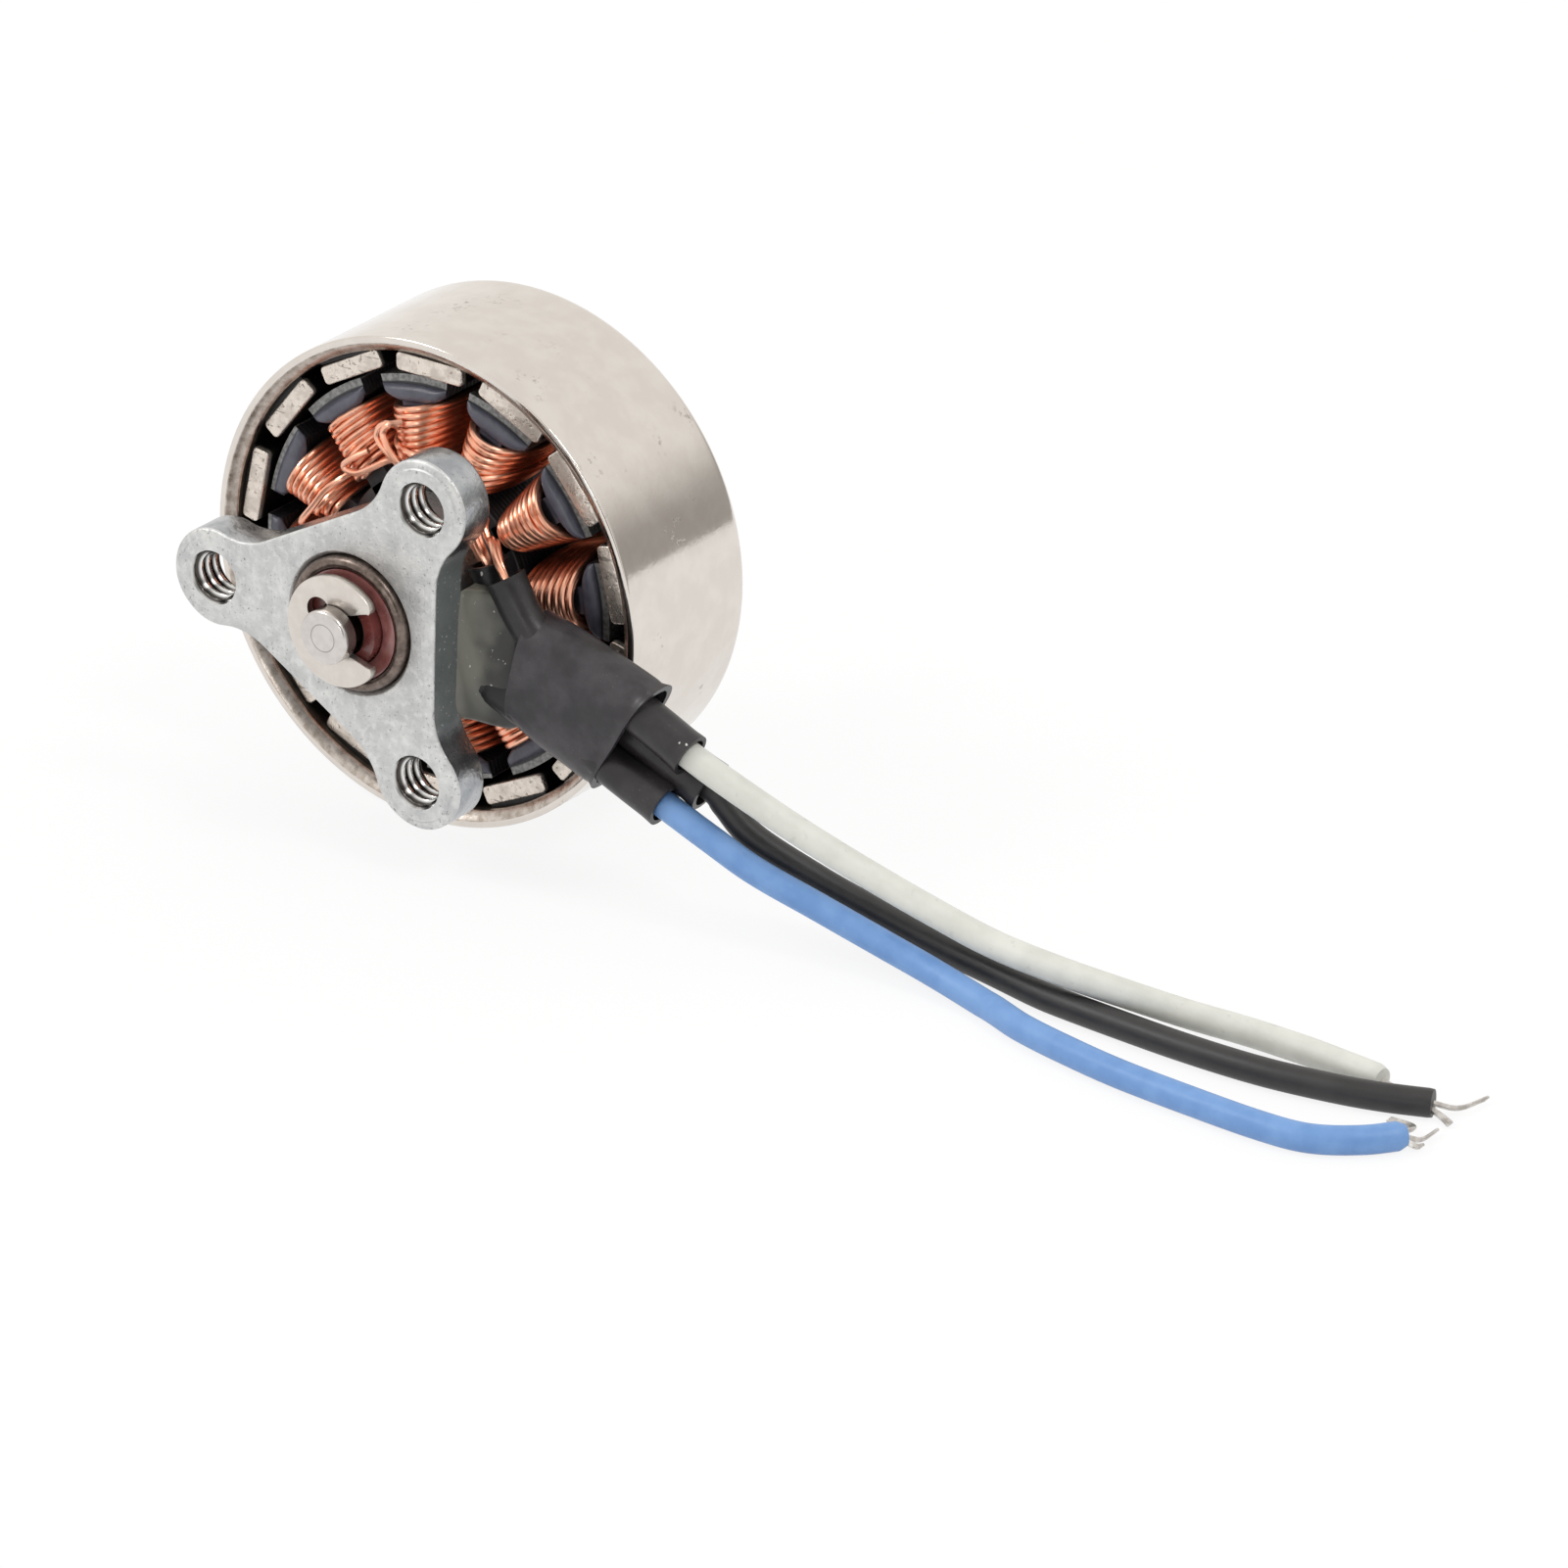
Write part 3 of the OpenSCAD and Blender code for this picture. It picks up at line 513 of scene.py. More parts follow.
def shaded_bell_inside():
    """The bell's inner wall: dark bronze near the rim and nearly black further in, painted as the shade
    inside the can, with dark glue behind the magnets.
    """
    s = Finish("shaded_bell_inside")
    # Painted shade: the inner wall is dark bronze, and nearly black from where the magnets begin, where
    # magnets and glue crowd it.
    deep = s.axes()[1].step(4.6, 4.95)
    tone = s.blend(s.noise(1.5, 4.0).step(0.35, 0.75), (0.06, 0.045, 0.035), (0.15, 0.118, 0.092))
    tone = s.blend(deep, tone, (0.008, 0.007, 0.006))
    return s.finish(tone, 0.7, s.noise(2.0) * 0.2 + 0.38, s.noise(8.0), 0.01)


def rim_wear_and_reflection():
    """The chamfer inside the bell's rim: worn plating, painted browner and darker than the nickel as the
    reflection of the bell's dark inside.
    """
    s = Finish("rim_wear_and_reflection")
    # Painted reflection: the browner, darker tone stands in for the dark inside that the chamfer reflects,
    # over cloudy wear.
    wear, tone = s.clouded((0.42, 0.36, 0.31), (0.66, 0.60, 0.545), 3.0, 4.0, (0.35, 0.65), 0.65)
    return s.finish(tone, 1.0, wear * 0.2 + 0.2, wear, 0.008)


def magnet_nickel():
    """Plated blocks: scuffed, nicked and scratched end faces, and sides painted nearly black as the shade in
    the narrow gap round the stator.
    """
    s = Finish("magnet_nickel")
    scuff = s.noise(2.0, 5.0, rough=0.7).step(0.42, 0.64)
    nick = s.noise(6.0).step(0.62, 0.7)
    scratch = s.noise(2.2, 2.0, s.stretched(0.4, 1.0, 2.4)).step(0.66, 0.70)
    tone = s.blend(scuff * 0.6, (0.78, 0.70, 0.625), (0.53, 0.475, 0.42))
    tone = s.blend(nick * 0.4, tone, (0.25, 0.22, 0.20))
    tone = s.blend(scratch * 0.6, tone, (0.16, 0.14, 0.12))
    # Painted shade: all but the front end of each block is nearly black, for the shade in the gap between
    # magnets and stator.
    gap_shade = s.axes()[1].step(4.78, 4.98)
    tone = s.blend(gap_shade, tone, (0.014, 0.012, 0.011))
    return s.finish(tone, 0.85, scuff * 0.2 + 0.26 + gap_shade * 0.2, s.noise(5.0, 4.0) - nick, 0.025)


# %% Steel, copper and brass
def clip_steel():
    """Pressed spring steel with a satin nickel skin."""
    s = Finish("clip_steel")
    cloud, tone = s.clouded((0.665, 0.615, 0.565), (0.72, 0.675, 0.625), 2.2, 4.0, (0.35, 0.7))
    return s.finish(tone, 0.95, cloud * 0.2 + 0.22, s.noise(9.0), 0.008)


def ground_steel():
    """A ground shaft: fine rings about the axis, a centre ring on the tail, and painted shade in the clip's
    groove and on the shaft beside it.
    """
    s = Finish("ground_steel")
    grain = s.noise(1.6, 3.0, s.rings(1.0, 14.0, 14.0))
    along, radius = s.axes()[1], s.radius()
    _, tone = s.clouded((0.61, 0.575, 0.55), (0.67, 0.635, 0.61), 2.5, span=(0.35, 0.65))
    tail = 1 - along.step(-1.52, -1.5)
    mark = (1 - (radius - 0.5).maths("ABSOLUTE").step(0.008, 0.03)) * tail
    tone = s.blend(mark * 0.6, tone, (0.16, 0.15, 0.145))
    # Painted shade: dark in the clip's groove, half as dark on the shaft from just past the tail to the
    # groove.
    groove_shade = along.step(-0.94, -0.86) * (1 - along.step(-0.44, -0.4)) + along.step(-1.4, -1.3) * 0.5
    tone = s.blend((groove_shade * (1 - along.step(-0.44, -0.4))).maths("MINIMUM", 1.0), tone, (0.05, 0.038, 0.034))
    return s.finish(tone, 1.0, grain * 0.1 + 0.2)


def red_washer():
    """The shims and the bearing's inner ring, as red as the seal beside them."""
    s = Finish("red_washer")
    _, tone = s.clouded((0.10, 0.022, 0.02), (0.18, 0.045, 0.04), 1.5)
    return s.finish(tone, 0.0, s.noise(4.0) * 0.2 + 0.16, s.noise(4.0), 0.01, Coat_Weight=0.5,
                    Coat_Roughness=0.1)


def bearing_ring():
    """A bearing's outer ring, browned at the edge by its rust film."""
    s = Finish("bearing_ring")
    rust, tone = s.clouded((0.12, 0.092, 0.078), (0.25, 0.20, 0.175), 3.5, 5.0, (0.35, 0.7), 0.7)
    return s.finish(tone, 0.9, rust * 0.2 + 0.22, rust, 0.008)


def lamination():
    """Bare sheet edges round the tooth tips, one sheet every 0.2 mm; everywhere else the core is painted
    nearly black as the shade deep in the slots.
    """
    s = Finish("lamination")
    along = s.axes()[1]
    sheets = (along * (2 * math.pi / 0.2)).maths("SINE").step(-0.9, 0.4)
    tone = s.blend(s.noise(6.0, 4.0).step(0.35, 0.65), (0.155, 0.155, 0.15), (0.30, 0.30, 0.295))
    end_face = (1 - along.step(5.0, 5.04)) + along.step(8.56, 8.6)
    bare = s.radius().step(7.2, 7.26) * end_face + s.radius().step(7.44, 7.47)
    bare = bare.maths("MINIMUM", 1.0)
    # Painted shade: the core is nearly black wherever the sheet edges are not bare.
    tone = s.blend(bare, (0.02, 0.02, 0.024), tone)
    return s.finish(tone, bare * 0.6, 0.42, sheets * 0.6 + s.noise(8.0), 0.02)


def copper_wire():
    """Copper under clear lacquer: orange metal with a thin gloss coat."""
    s = Finish("copper_wire")
    cloud, tone = s.clouded((0.92, 0.42, 0.265), (0.96, 0.52, 0.37), 1.6)
    return s.finish(tone, 0.97, cloud * 0.08 + 0.25, Coat_Weight=0.35, Coat_Roughness=0.16)


def tinned_strand():
    """Tinned copper strands, dull and a little uneven."""
    s = Finish("tinned_strand")
    _, tone = s.clouded((0.50, 0.47, 0.44), (0.72, 0.69, 0.66), 4.0)
    return s.finish(tone, 0.9, 0.36, s.noise(9.0), 0.01)


def hub_brass():
    """Turned brass: fine rings about the axis."""
    s = Finish("hub_brass")
    grain = s.noise(1.2, 3.0, s.rings(0.5, 20.0, 20.0))
    tone = s.blend(grain, (0.62, 0.46, 0.22), (0.76, 0.60, 0.34))
    return s.finish(tone, 1.0, grain * 0.2 + 0.2, grain, 0.006)


# %% Coating, seals and sleeves
def stator_coating():
    """Blue-grey powder coat, slightly satin, with a fine pebble; inside 6.34 mm, on the arms under the coils
    and round the yoke, it is painted nearly black as shade.
    """
    s = Finish("stator_coating")
    cloud, tone = s.clouded((0.062, 0.064, 0.09), (0.092, 0.094, 0.125), 1.8, 4.0)
    # Painted shade: nearly black inside 6.34 mm from the shaft, under the coils.
    tone = s.blend(s.radius().step(6.34, 6.4), (0.02, 0.02, 0.024), tone)
    return s.finish(tone, 0.0, cloud * 0.2 + 0.3, s.noise(6.0, 4.0), 0.02, Coat_Weight=0.25,
                    Coat_Roughness=0.3)


def bearing_seal():
    """The red seal, smooth and glossy."""
    s = Finish("bearing_seal")
    _, tone = s.clouded((0.18, 0.058, 0.053), (0.29, 0.115, 0.105), 1.5)
    return s.finish(tone, 0.0, s.noise(5.0) * 0.2 + 0.14, s.noise(4.0), 0.012, Coat_Weight=0.6,
                    Coat_Roughness=0.08)


def shrink_tube(name, low, high):
    """Matte black shrink tube between two tones, dusty, and painted darker towards the base, as the shade
    near the plate and glue.
    """
    s = Finish(name)
    cloud, tone = s.clouded(low, high, 0.9, 4.0)
    dust = s.noise(2.4, 1.0, s.stretched(1.0, 1.3, 0.8)).step(0.79, 0.80)
    fine = s.noise(14.0, 2.0).step(0.66, 0.72) * s.noise(0.9, 1.0).step(0.5, 0.6)
    # Painted shade: nearly black below 4.6 mm in x, towards the plate and glue, rising to the tube's tone by
    # 6.2 mm.
    tone = s.blend(s.axes()[0].step(4.6, 6.2), (0.012, 0.012, 0.013), tone)
    tone = s.blend(fine * 0.35, tone, (0.18, 0.175, 0.17))
    tone = s.blend(dust * 0.8, tone, (0.70, 0.69, 0.67))
    return s.finish(tone, 0.0, cloud * 0.2 + 0.26, s.noise(3.0, 4.0) + dust, 0.014,
                    Specular_IOR_Level=0.4)


# %% Glue and silicone
def adhesive():
    """Set glue: olive-grey on the base, duller low down, nearly black at the leads, with pale dust."""
    s = Finish("adhesive")
    x, y, z = s.axes()
    reach = x + y * 0.35 + s.noise(0.8) * 0.9
    tone = s.blend(z.step(-2.8, -1.2), (0.10, 0.10, 0.088), (0.148, 0.146, 0.118))
    tone = s.blend(reach.step(4.4, 4.9), (0.155, 0.145, 0.125), tone)
    lumps = s.noise(0.8, 1.0)
    tone = s.blend((reach + lumps * 1.2).step(5.6, 6.9), tone, (0.024, 0.023, 0.021))
    dust = s.noise(5.0, 2.0).step(0.70, 0.73)
    tone = s.blend(dust * 0.6, tone, (0.6, 0.62, 0.6))
    return s.finish(tone, 0.0, s.noise(2.0) * 0.16 + 0.28, lumps, 0.03,
                    Coat_Weight=0.12, Coat_Roughness=0.2)


def silicone(name, low, high, rough, marks=0.0):
    """Soft lead insulation. marks is how strongly faint grey scuffs show on it."""
    s = Finish(name)
    cloud, tone = s.clouded(low, high, 0.8, 4.0)
    scuff = s.noise(2.6).step(0.62, 0.72) * marks
    tone = s.blend(scuff, tone, (0.45, 0.45, 0.44))
    return s.finish(tone, 0.0, cloud * 0.2 + rough, s.noise(5.0), 0.01, Subsurface_Weight=0.12,
                    Subsurface_Radius=(0.0004, 0.0004, 0.0004))


def magnet_glue():
    """The glue behind the magnets, nearly black: its own dark colour, and painted shade in the gaps between
    the magnets.
    """
    s = Finish("magnet_glue")
    return s.finish((0.006, 0.005, 0.005), 0.0, s.noise(3.0) * 0.3 + 0.35, s.noise(6.0), 0.02)


# %% All finishes
FINISH = {make.__name__: make() for make in (
    cast_base, cast_side, cut_thread, nickel_bell, shaded_bell_inside, magnet_nickel, clip_steel, ground_steel,
    red_washer, bearing_ring, lamination, copper_wire, tinned_strand, hub_brass, stator_coating,
    bearing_seal, adhesive, magnet_glue, rim_wear_and_reflection)}
FINISH["heat_shrink"] = shrink_tube("heat_shrink", (0.024, 0.022, 0.025), (0.050, 0.046, 0.051))
# The small sleeves take a darker black: partly their own thinner tube, partly painted shade where they lie
# among the leads and glue.
FINISH["shaded_thin_shrink"] = shrink_tube("shaded_thin_shrink", (0.018, 0.016, 0.017), (0.032, 0.029, 0.030))
FINISH["lead_white"] = silicone("lead_white", (0.60, 0.605, 0.56), (0.67, 0.675, 0.63), 0.36, 0.3)
FINISH["lead_black"] = silicone("lead_black", (0.018, 0.017, 0.017), (0.028, 0.026, 0.026), 0.36)
FINISH["lead_blue"] = silicone("lead_blue", (0.125, 0.265, 0.55), (0.17, 0.325, 0.62), 0.36)
FINISH["ball_steel"] = FINISH["solder"] = FINISH["ground_steel"]
FINISH["cage_brass"] = FINISH["hub_brass"]
print(len(FINISH), "finishes")

# %% [markdown]
# ## Leads
#
# Three silicone leads leave the flat sleeve and fall to the table in slack curves. Each follows the
# same given points as its CAD solid, and one Catmull-Rom curve through them takes out the
# corners. The path starts at the solder joint inside the small sleeve, because the insulation does.

# %% Lead routes
WHITE = [[3.5, 3.7, 2.7], [4, 3.1, 3], [4.6, 2.5, 2.7], [5.05, 2.3, 2.2], [5.55, 2.3, 1.35],
         [6.35, 2.3, 0.35], [7.4, 2.3, -0.15], [8.6, 2.3, -0.6], [10.7, 2.3, -1.4],
         [12.9, 2.3, -2.45], [14.6, 2.4, -3.2], [17.1, 2.9, -4.45], [19.5, 3.5, -5.6],
         [21.9, 3.9, -6.5], [24.3, 4.1, -7.15], [26.9, 4.2, -7.45], [29.3, 4.7, -7.85],
         [31.4, 5.3, -8.25], [33.4, 5.7, -8.45], [35.2, 5.9, -8.6], [37.4, 5.7, -8.6],
         [39, 5.5, -8.6]]
BLACK = [[2.5, 3.7, 3.6], [2.9, 3.3, 3.3], [3.3, 3.1, 2.8], [3.75, 3, 2.2], [4.1, 3, 1.2],
         [4.6, 2.95, 0.15], [5.4, 2.95, -0.75], [6.6, 2.95, -1.25], [8.2, 2.95, -1.8],
         [10.1, 3.15, -2.55], [13, 3.35, -4], [13.6, 3.4, -4.55], [14.7, 3.5, -5.5],
         [16.9, 4.2, -6.75], [19, 4.6, -7.55], [21.5, 4.7, -8.15], [24.1, 4.6, -8.5],
         [26.5, 4.2, -8.6], [29.5, 3.9, -8.6], [32.4, 3.7, -8.6], [35.3, 3.7, -8.6],
         [37.8, 4, -8.6], [39.6, 4.4, -8.6], [41.3, 5, -8.6]]
BLUE = [[4.05, 3.7, -1.75], [4, 3.1, -1.85], [4.1, 2.55, -1.95], [4.4, 2.35, -2],
        [5.2, 2.3, -2.25], [6.2, 2.25, -2.55], [7.3, 2.25, -2.9], [9.3, 2.2, -3.5],
        [11.9, 2.2, -4.55], [13.8, 2.3, -5.4], [15.5, 2.5, -6.2], [17.8, 2.9, -7.05],
        [20.1, 3.1, -7.75], [22.4, 3.1, -8.3], [24.9, 2.6, -8.6], [27, 1.8, -8.6],
        [29.2, 1.25, -8.6], [31.6, 0.8, -8.6], [34.5, 0.5, -8.6], [37.4, 0.3, -8.6],
        [39.3, 0.45, -8.6], [40.8, 1.35, -8.6], [41.8, 2.5, -8.6]]
# Every sleeve starts at the same point of its route. STOPS says where each lead's insulation
# starts and where its sleeve ends.
SLEEVE_START = 3
STOPS = {"white": (WHITE, 7, 9), "black": (BLACK, 8, 10), "blue": (BLUE, 6, 8)}
LEAD_R = 0.5


def lead(colour):
    """The insulated part of a lead: a round tube whose cut end is drawn in a little."""
    route, start, _ = STOPS[colour]
    path = smooth(route[start:], 0.3)
    path[:, 2] = np.maximum(path[:, 2], FLOOR_MM + LEAD_R)
    radius = np.full(len(path), LEAD_R)
    rounding = {"white": 0.8, "black": 0.96, "blue": 0.72}[colour]
    radius[-3:] *= np.array([1.0, (1 + rounding) / 2 + 0.02, rounding])
    name = "lead_" + colour
    made = piece(name, sweep(path, radius, 24), "stator", name, name, crease=55)
    "strands_" + colour + "_ends"


# %% Loose strands at the cut ends
STRAND_R = 0.075
STRANDS = {
    "white": [[[38.8, 5.5, -8.6], [39.8, 5.5, -8.8], [40.5, 5.7, -8.93]]],
    "black": [[[41.1, 5.0, -8.6], [41.9, 5.6, -8.85], [42.2, 6.9, -8.94]],
              [[41.1, 4.9, -8.7], [41.8, 4.8, -8.9], [42.2, 4.6, -8.94]]],
    "blue": [[[41.6, 2.4, -8.6], [42.1, 2.9, -8.85], [42.1, 3.9, -8.94]],
             [[41.7, 2.4, -8.7], [42.15, 2.5, -8.9], [42.3, 2.7, -8.94]],
             [[41.6, 2.4, -8.5], [41.7, 3.1, -8.65], [41.2, 3.6, -8.85], [40.4, 3.7, -8.93]]]}

for colour, sets in STRANDS.items():
    patches = []
    for strand in sets:
        line = smooth(strand, 0.12)
        for offset in (-0.07, 0.0, 0.07):
            spread = np.linspace(0.5, 1.3, len(line))[:, None] * np.array([0.2, 1.0, 0.25]) * offset
            patches += sweep(line + spread, STRAND_R * np.linspace(1.0, 0.75, len(line)), 8, (0, 0, 1))
    piece("strands_" + colour + "_ends", patches, "stator", "tinned_strand", "strands_" + colour)

# %% [markdown]
# ## Sleeves
#
# A short shrink tube covers each solder joint, and one flat tube holds all three. Shrink tube never
# shrinks evenly, so its radius wanders a little, and each mouth keeps a thick, rolled rim.

# %% Sleeves over the joints
SLEEVE_R = 0.7
SLEEVE_WALL = 0.15
# How much each sleeve widens at its far mouth, and the power of its distance that it follows
FLARES = {"white": (0.09, 4), "black": (0.24, 1.6), "blue": (0.09, 4)}


def sleeve(colour, swell):
    """Outer skin, rolled mouths and bore, as one closed tube."""
    flare, power = FLARES[colour]
    route, _, end = STOPS[colour]
    path = smooth(route[SLEEVE_START:end + 1], 0.12)
    along = np.linspace(0, 1, len(path))[:, None]
    turn = around(28)[None]
    wander = 0.015 * np.sin(along * 9 + turn * 2 + swell) + 0.01 * np.sin(along * 23 - turn + swell)
    rim = 0.03 * (np.exp(-((1 - along) / 0.02) ** 2) + np.exp(-(along / 0.02) ** 2))
    outer = SLEEVE_R + wander + rim + flare * along**power
    inner = SLEEVE_R - SLEEVE_WALL + flare * along**power
    rays = spokes(path, turn)
    skin = path[:, None] + outer[..., None] * rays
    bore = path[:, None] + inner[..., None] * rays
    return [grid(np.concatenate([skin, bore[::-1], skin[:1]]))]


for k, colour in enumerate(STOPS):
    lead(colour)
    piece("sleeve_" + colour, sleeve(colour, 2.1 * k), "stator", "heat_shrink",
          "joint_sleeve_" + colour, crease=50, finishes=["shaded_thin_shrink"])

# %% [markdown]
# ## The base
#
# The base is one zinc casting: a flat plate with three threaded lugs, and behind it the tube that
# holds both bearings and carries the stator. Its outline is three straight edges and three lugs
# joined by hollow curves, and `outline` gives it at any inset, so that the rounded edge can be
# built as a few rings of falling inset. The threads are real helical surfaces.

# %% Base outline
LUG_R = 1.8
PLATE_T = 1.6
WEB_EDGE = 3.65
WEB_FILLET = 2.5

spread, depth = MOUNT_R * math.sin(THIRD / 2), MOUNT_R * math.cos(THIRD / 2)
fillet_x = WEB_EDGE + WEB_FILLET
fillet_z = spread - math.sqrt((LUG_R + WEB_FILLET) ** 2 - (fillet_x - depth) ** 2)
fillet_end = math.acos((fillet_x - depth) / (LUG_R + WEB_FILLET))
HOLLOW_STEPS, LUG_STEPS, EDGE_STEPS = 9, 18, 8


def half_outline(inset):
    """Half of one edge: its straight part, the hollow curve and half a lug, each moved in by inset."""
    straight, hollow, lug = np.split(inset, [EDGE_STEPS, EDGE_STEPS + HOLLOW_STEPS])
    a = np.linspace(0, 1, EDGE_STEPS, endpoint=False)
    first = np.stack([WEB_EDGE - straight, fillet_z * a], axis=-1)
    turn = np.pi - np.linspace(0, fillet_end, HOLLOW_STEPS, endpoint=False)
    ring = (WEB_FILLET + hollow)[:, None] * np.stack([np.cos(turn), np.sin(turn)], axis=-1)
    second = np.array([fillet_x, fillet_z]) + ring
    turn = np.linspace(-fillet_end, THIRD / 2, LUG_STEPS + 1)
    ring = (LUG_R - lug)[:, None] * np.stack([np.cos(turn), np.sin(turn)], axis=-1)
    return np.vstack([first, second, np.array([depth, spread]) + ring])


HALF = EDGE_STEPS + HOLLOW_STEPS + LUG_STEPS + 1
AT_LUG = np.clip((np.arange(HALF) - EDGE_STEPS - HOLLOW_STEPS) / LUG_STEPS * 2.2, 0, 1)
at_lug = np.concatenate([AT_LUG[:0:-1], AT_LUG[:-1]])


def outline(inset):
    """The whole outline as (x, z), going round once; inset is a number, or one for each edge point."""
    inset = np.broadcast_to(inset, len(at_lug))
    upper = half_outline(np.append(inset[HALF - 1:], inset[0]))
    lower = half_outline(inset[HALF - 1::-1]) * [1, -1]
    edge = np.vstack([lower[:0:-1], upper[:-1]])
    return np.vstack([turned(edge, LUG_TURN + THIRD * (k + 0.5)) for k in range(3)])


print("base outline:", len(outline(0.0)), "points")


# %% Base casting with real threads
EDGE_ROUND = 0.11
LUG_SLOPE = 0.30
LUG_DROP = 0.20
LEDGE_DROP, LEDGE_IN = 0.05, 0.05
REAR_ROUND = 0.14
THREAD_PITCH = 0.4
THREAD_MINOR, THREAD_MAJOR = 0.8, 1.0
HOLE_MOUTH, MOUTH_SLOPE = 1.004, 0.7
HOLE_SIDES = 64
POCKET_MOUTH = 2.7
SEAT_R, TUBE_R, TUBE_END = 3.3, 3.1, 9.52
BORE_R, SHOULDER_R = 2.51, 2.05
REAR_STOP, FRONT_STOP = 2.12, 7.22


def thread(lug):
    """A tapped hole: a V groove that climbs one pitch a turn, with a countersunk mouth at each end."""
    along = np.linspace(0, PLATE_T, 97)[:, None]
    turn = around(HOLE_SIDES)[None]
    phase = np.mod(along / THREAD_PITCH - turn / (2 * np.pi), 1)
    groove = np.clip(1.5 * np.abs(2 * phase - 1) - 0.3, 0, 1)
    cut = THREAD_MINOR + (THREAD_MAJOR - THREAD_MINOR) * groove
    mouth = HOLE_MOUTH - np.minimum(along, PLATE_T - along) * MOUTH_SLOPE
    return grid(lug + polar(np.maximum(cut, mouth), turn, along), paint=2)


def circle(centre, radius, count=96):
    """A level circle as (x, z)."""
    return (centre + polar(radius, around(count), 0.0))[:, ::2]


def casting():
    """The plate's side walls, the pocket and tube, both faces and the three threads."""
    slope = EDGE_ROUND + (LUG_SLOPE - EDGE_ROUND) * at_lug
    drop = EDGE_ROUND + (LUG_DROP - EDGE_ROUND) * at_lug
    rings, heights = [], []
    for a in np.linspace(0, np.pi / 2, 7):
        rings.append(outline(slope * (1 - np.cos(a))))
        heights.append(np.tile(drop * (1 - np.sin(a)) + LEDGE_DROP * at_lug * np.sin(a) ** 4, 3))
    rings.append(outline(slope + LEDGE_IN))
    heights.append(np.zeros(3 * len(at_lug)))
    for a in np.linspace(0, np.pi / 2, 5):
        rings.insert(0, outline(REAR_ROUND * (1 - np.cos(a))))
        heights.insert(0, np.full(3 * len(at_lug), PLATE_T - REAR_ROUND * (1 - np.sin(a))))
    wall = raised(np.array(rings), np.array(heights))
    sides = [grid(wall[:6], paint=1), grid(wall[5:])]
    inner = [(POCKET_MOUTH, 0), (POCKET_MOUTH - 0.05, 0.03), (BORE_R + 0.02, 0.2), (BORE_R, 0.3),
             (BORE_R, REAR_STOP), (SHOULDER_R, REAR_STOP), (SHOULDER_R, FRONT_STOP), (BORE_R, FRONT_STOP),
             (BORE_R, TUBE_END), (TUBE_R - 0.15, TUBE_END), (TUBE_R, TUBE_END - 0.12), (TUBE_R, 4.85),
             (SEAT_R, 4.8), (SEAT_R, 1.9), (SEAT_R + 0.08, 1.7), (SEAT_R + 0.2, PLATE_T)]
    holes = [circle(lug, HOLE_MOUTH, HOLE_SIDES) for lug in LUGS]
    faces = [flat([rings[-1], *holes, circle(0, POCKET_MOUTH)], 0.0),
             flat([rings[0], *holes, circle(0, SEAT_R + 0.2)], PLATE_T)]
    return sides + [lathe(inner)] + faces + [thread(lug) for lug in LUGS]


piece("base_casting", casting(), "stator", "cast_base", "mount_base", crease=42,
      finishes=["cast_base", "cast_side", "cut_thread"])

# %% [markdown]
# ## Bearings, clip and shaft
#
# The rear bearing shows its browned outer ring and a glossy red seal. The clip is an open ring of
# spring steel. In polar terms it is simple: at each angle there is an inner and an outer radius,
# and the two meet at the ends of the mouth. The notches are circles seen from the shaft's middle.

# %% Bearings
BEARING_R, BEARING_W = 2.5, 2.3
RING_IN = 2.05
RING_ROUND = 0.24
BEARINGS = {"rear": -0.18, "front": 7.22}


def bearing_ring_profile(face):
    """A ring with rounded corners outside, and a groove inside it for the balls."""
    back, outer = face + BEARING_W, BEARING_R - RING_ROUND
    return (corner((RING_IN + 0.2, face + 0.2), 0.2, 180, 270)
            + corner((outer, face + RING_ROUND), RING_ROUND, -90, 0)
            + corner((outer, back - RING_ROUND), RING_ROUND, 0, 90)
            + [(RING_IN, back), (RING_IN, back - 0.5), (RING_IN + 0.1, face + BEARING_W / 2),
               (RING_IN, face + 0.5), (RING_IN, face + 0.2)])


def seal_profile(face, way):
    """A washer that is dished a little towards the shaft; way is which side it faces."""
    section = [(2.045, 0.05), (1.98, 0.04), (1.86, 0.05), (1.7, 0.06), (1.54, 0.07), (1.49, 0.1),
               (1.49, 0.2), (2.045, 0.2), (2.045, 0.05)]
    return [(r, face + way * (0.03 + d)) for r, d in section]


for place, face in BEARINGS.items():
    piece(place + "_outer_ring", [lathe(bearing_ring_profile(face))], "stator", "bearing_ring",
          place + "_bearing_outer_ring")
    seals = [lathe(seal_profile(face, 1)), lathe(seal_profile(face + BEARING_W, -1))]
    piece(place + "_seals", seals, "stator", "bearing_seal", place + "_bearing_seals", crease=50)

# %% Retaining clip
CLIP_R, GRIP_R = 2.05, 0.76
CLIP_FRONT, CLIP_BACK = -0.87, -0.55
# Half the mouth's width at the shaft, and how much it widens by per mm further out
MOUTH_HALF, MOUTH_SPREAD = 0.6, 0.26
TIP_TURN, TIP_SPAN = math.radians(34), math.radians(11)
TIP_MIDDLE = 1.82
NOTCH_TURN, NOTCH_R, NOTCH_AT = math.radians(136), 0.49, 0.93
CLIP_ROUND = 0.05


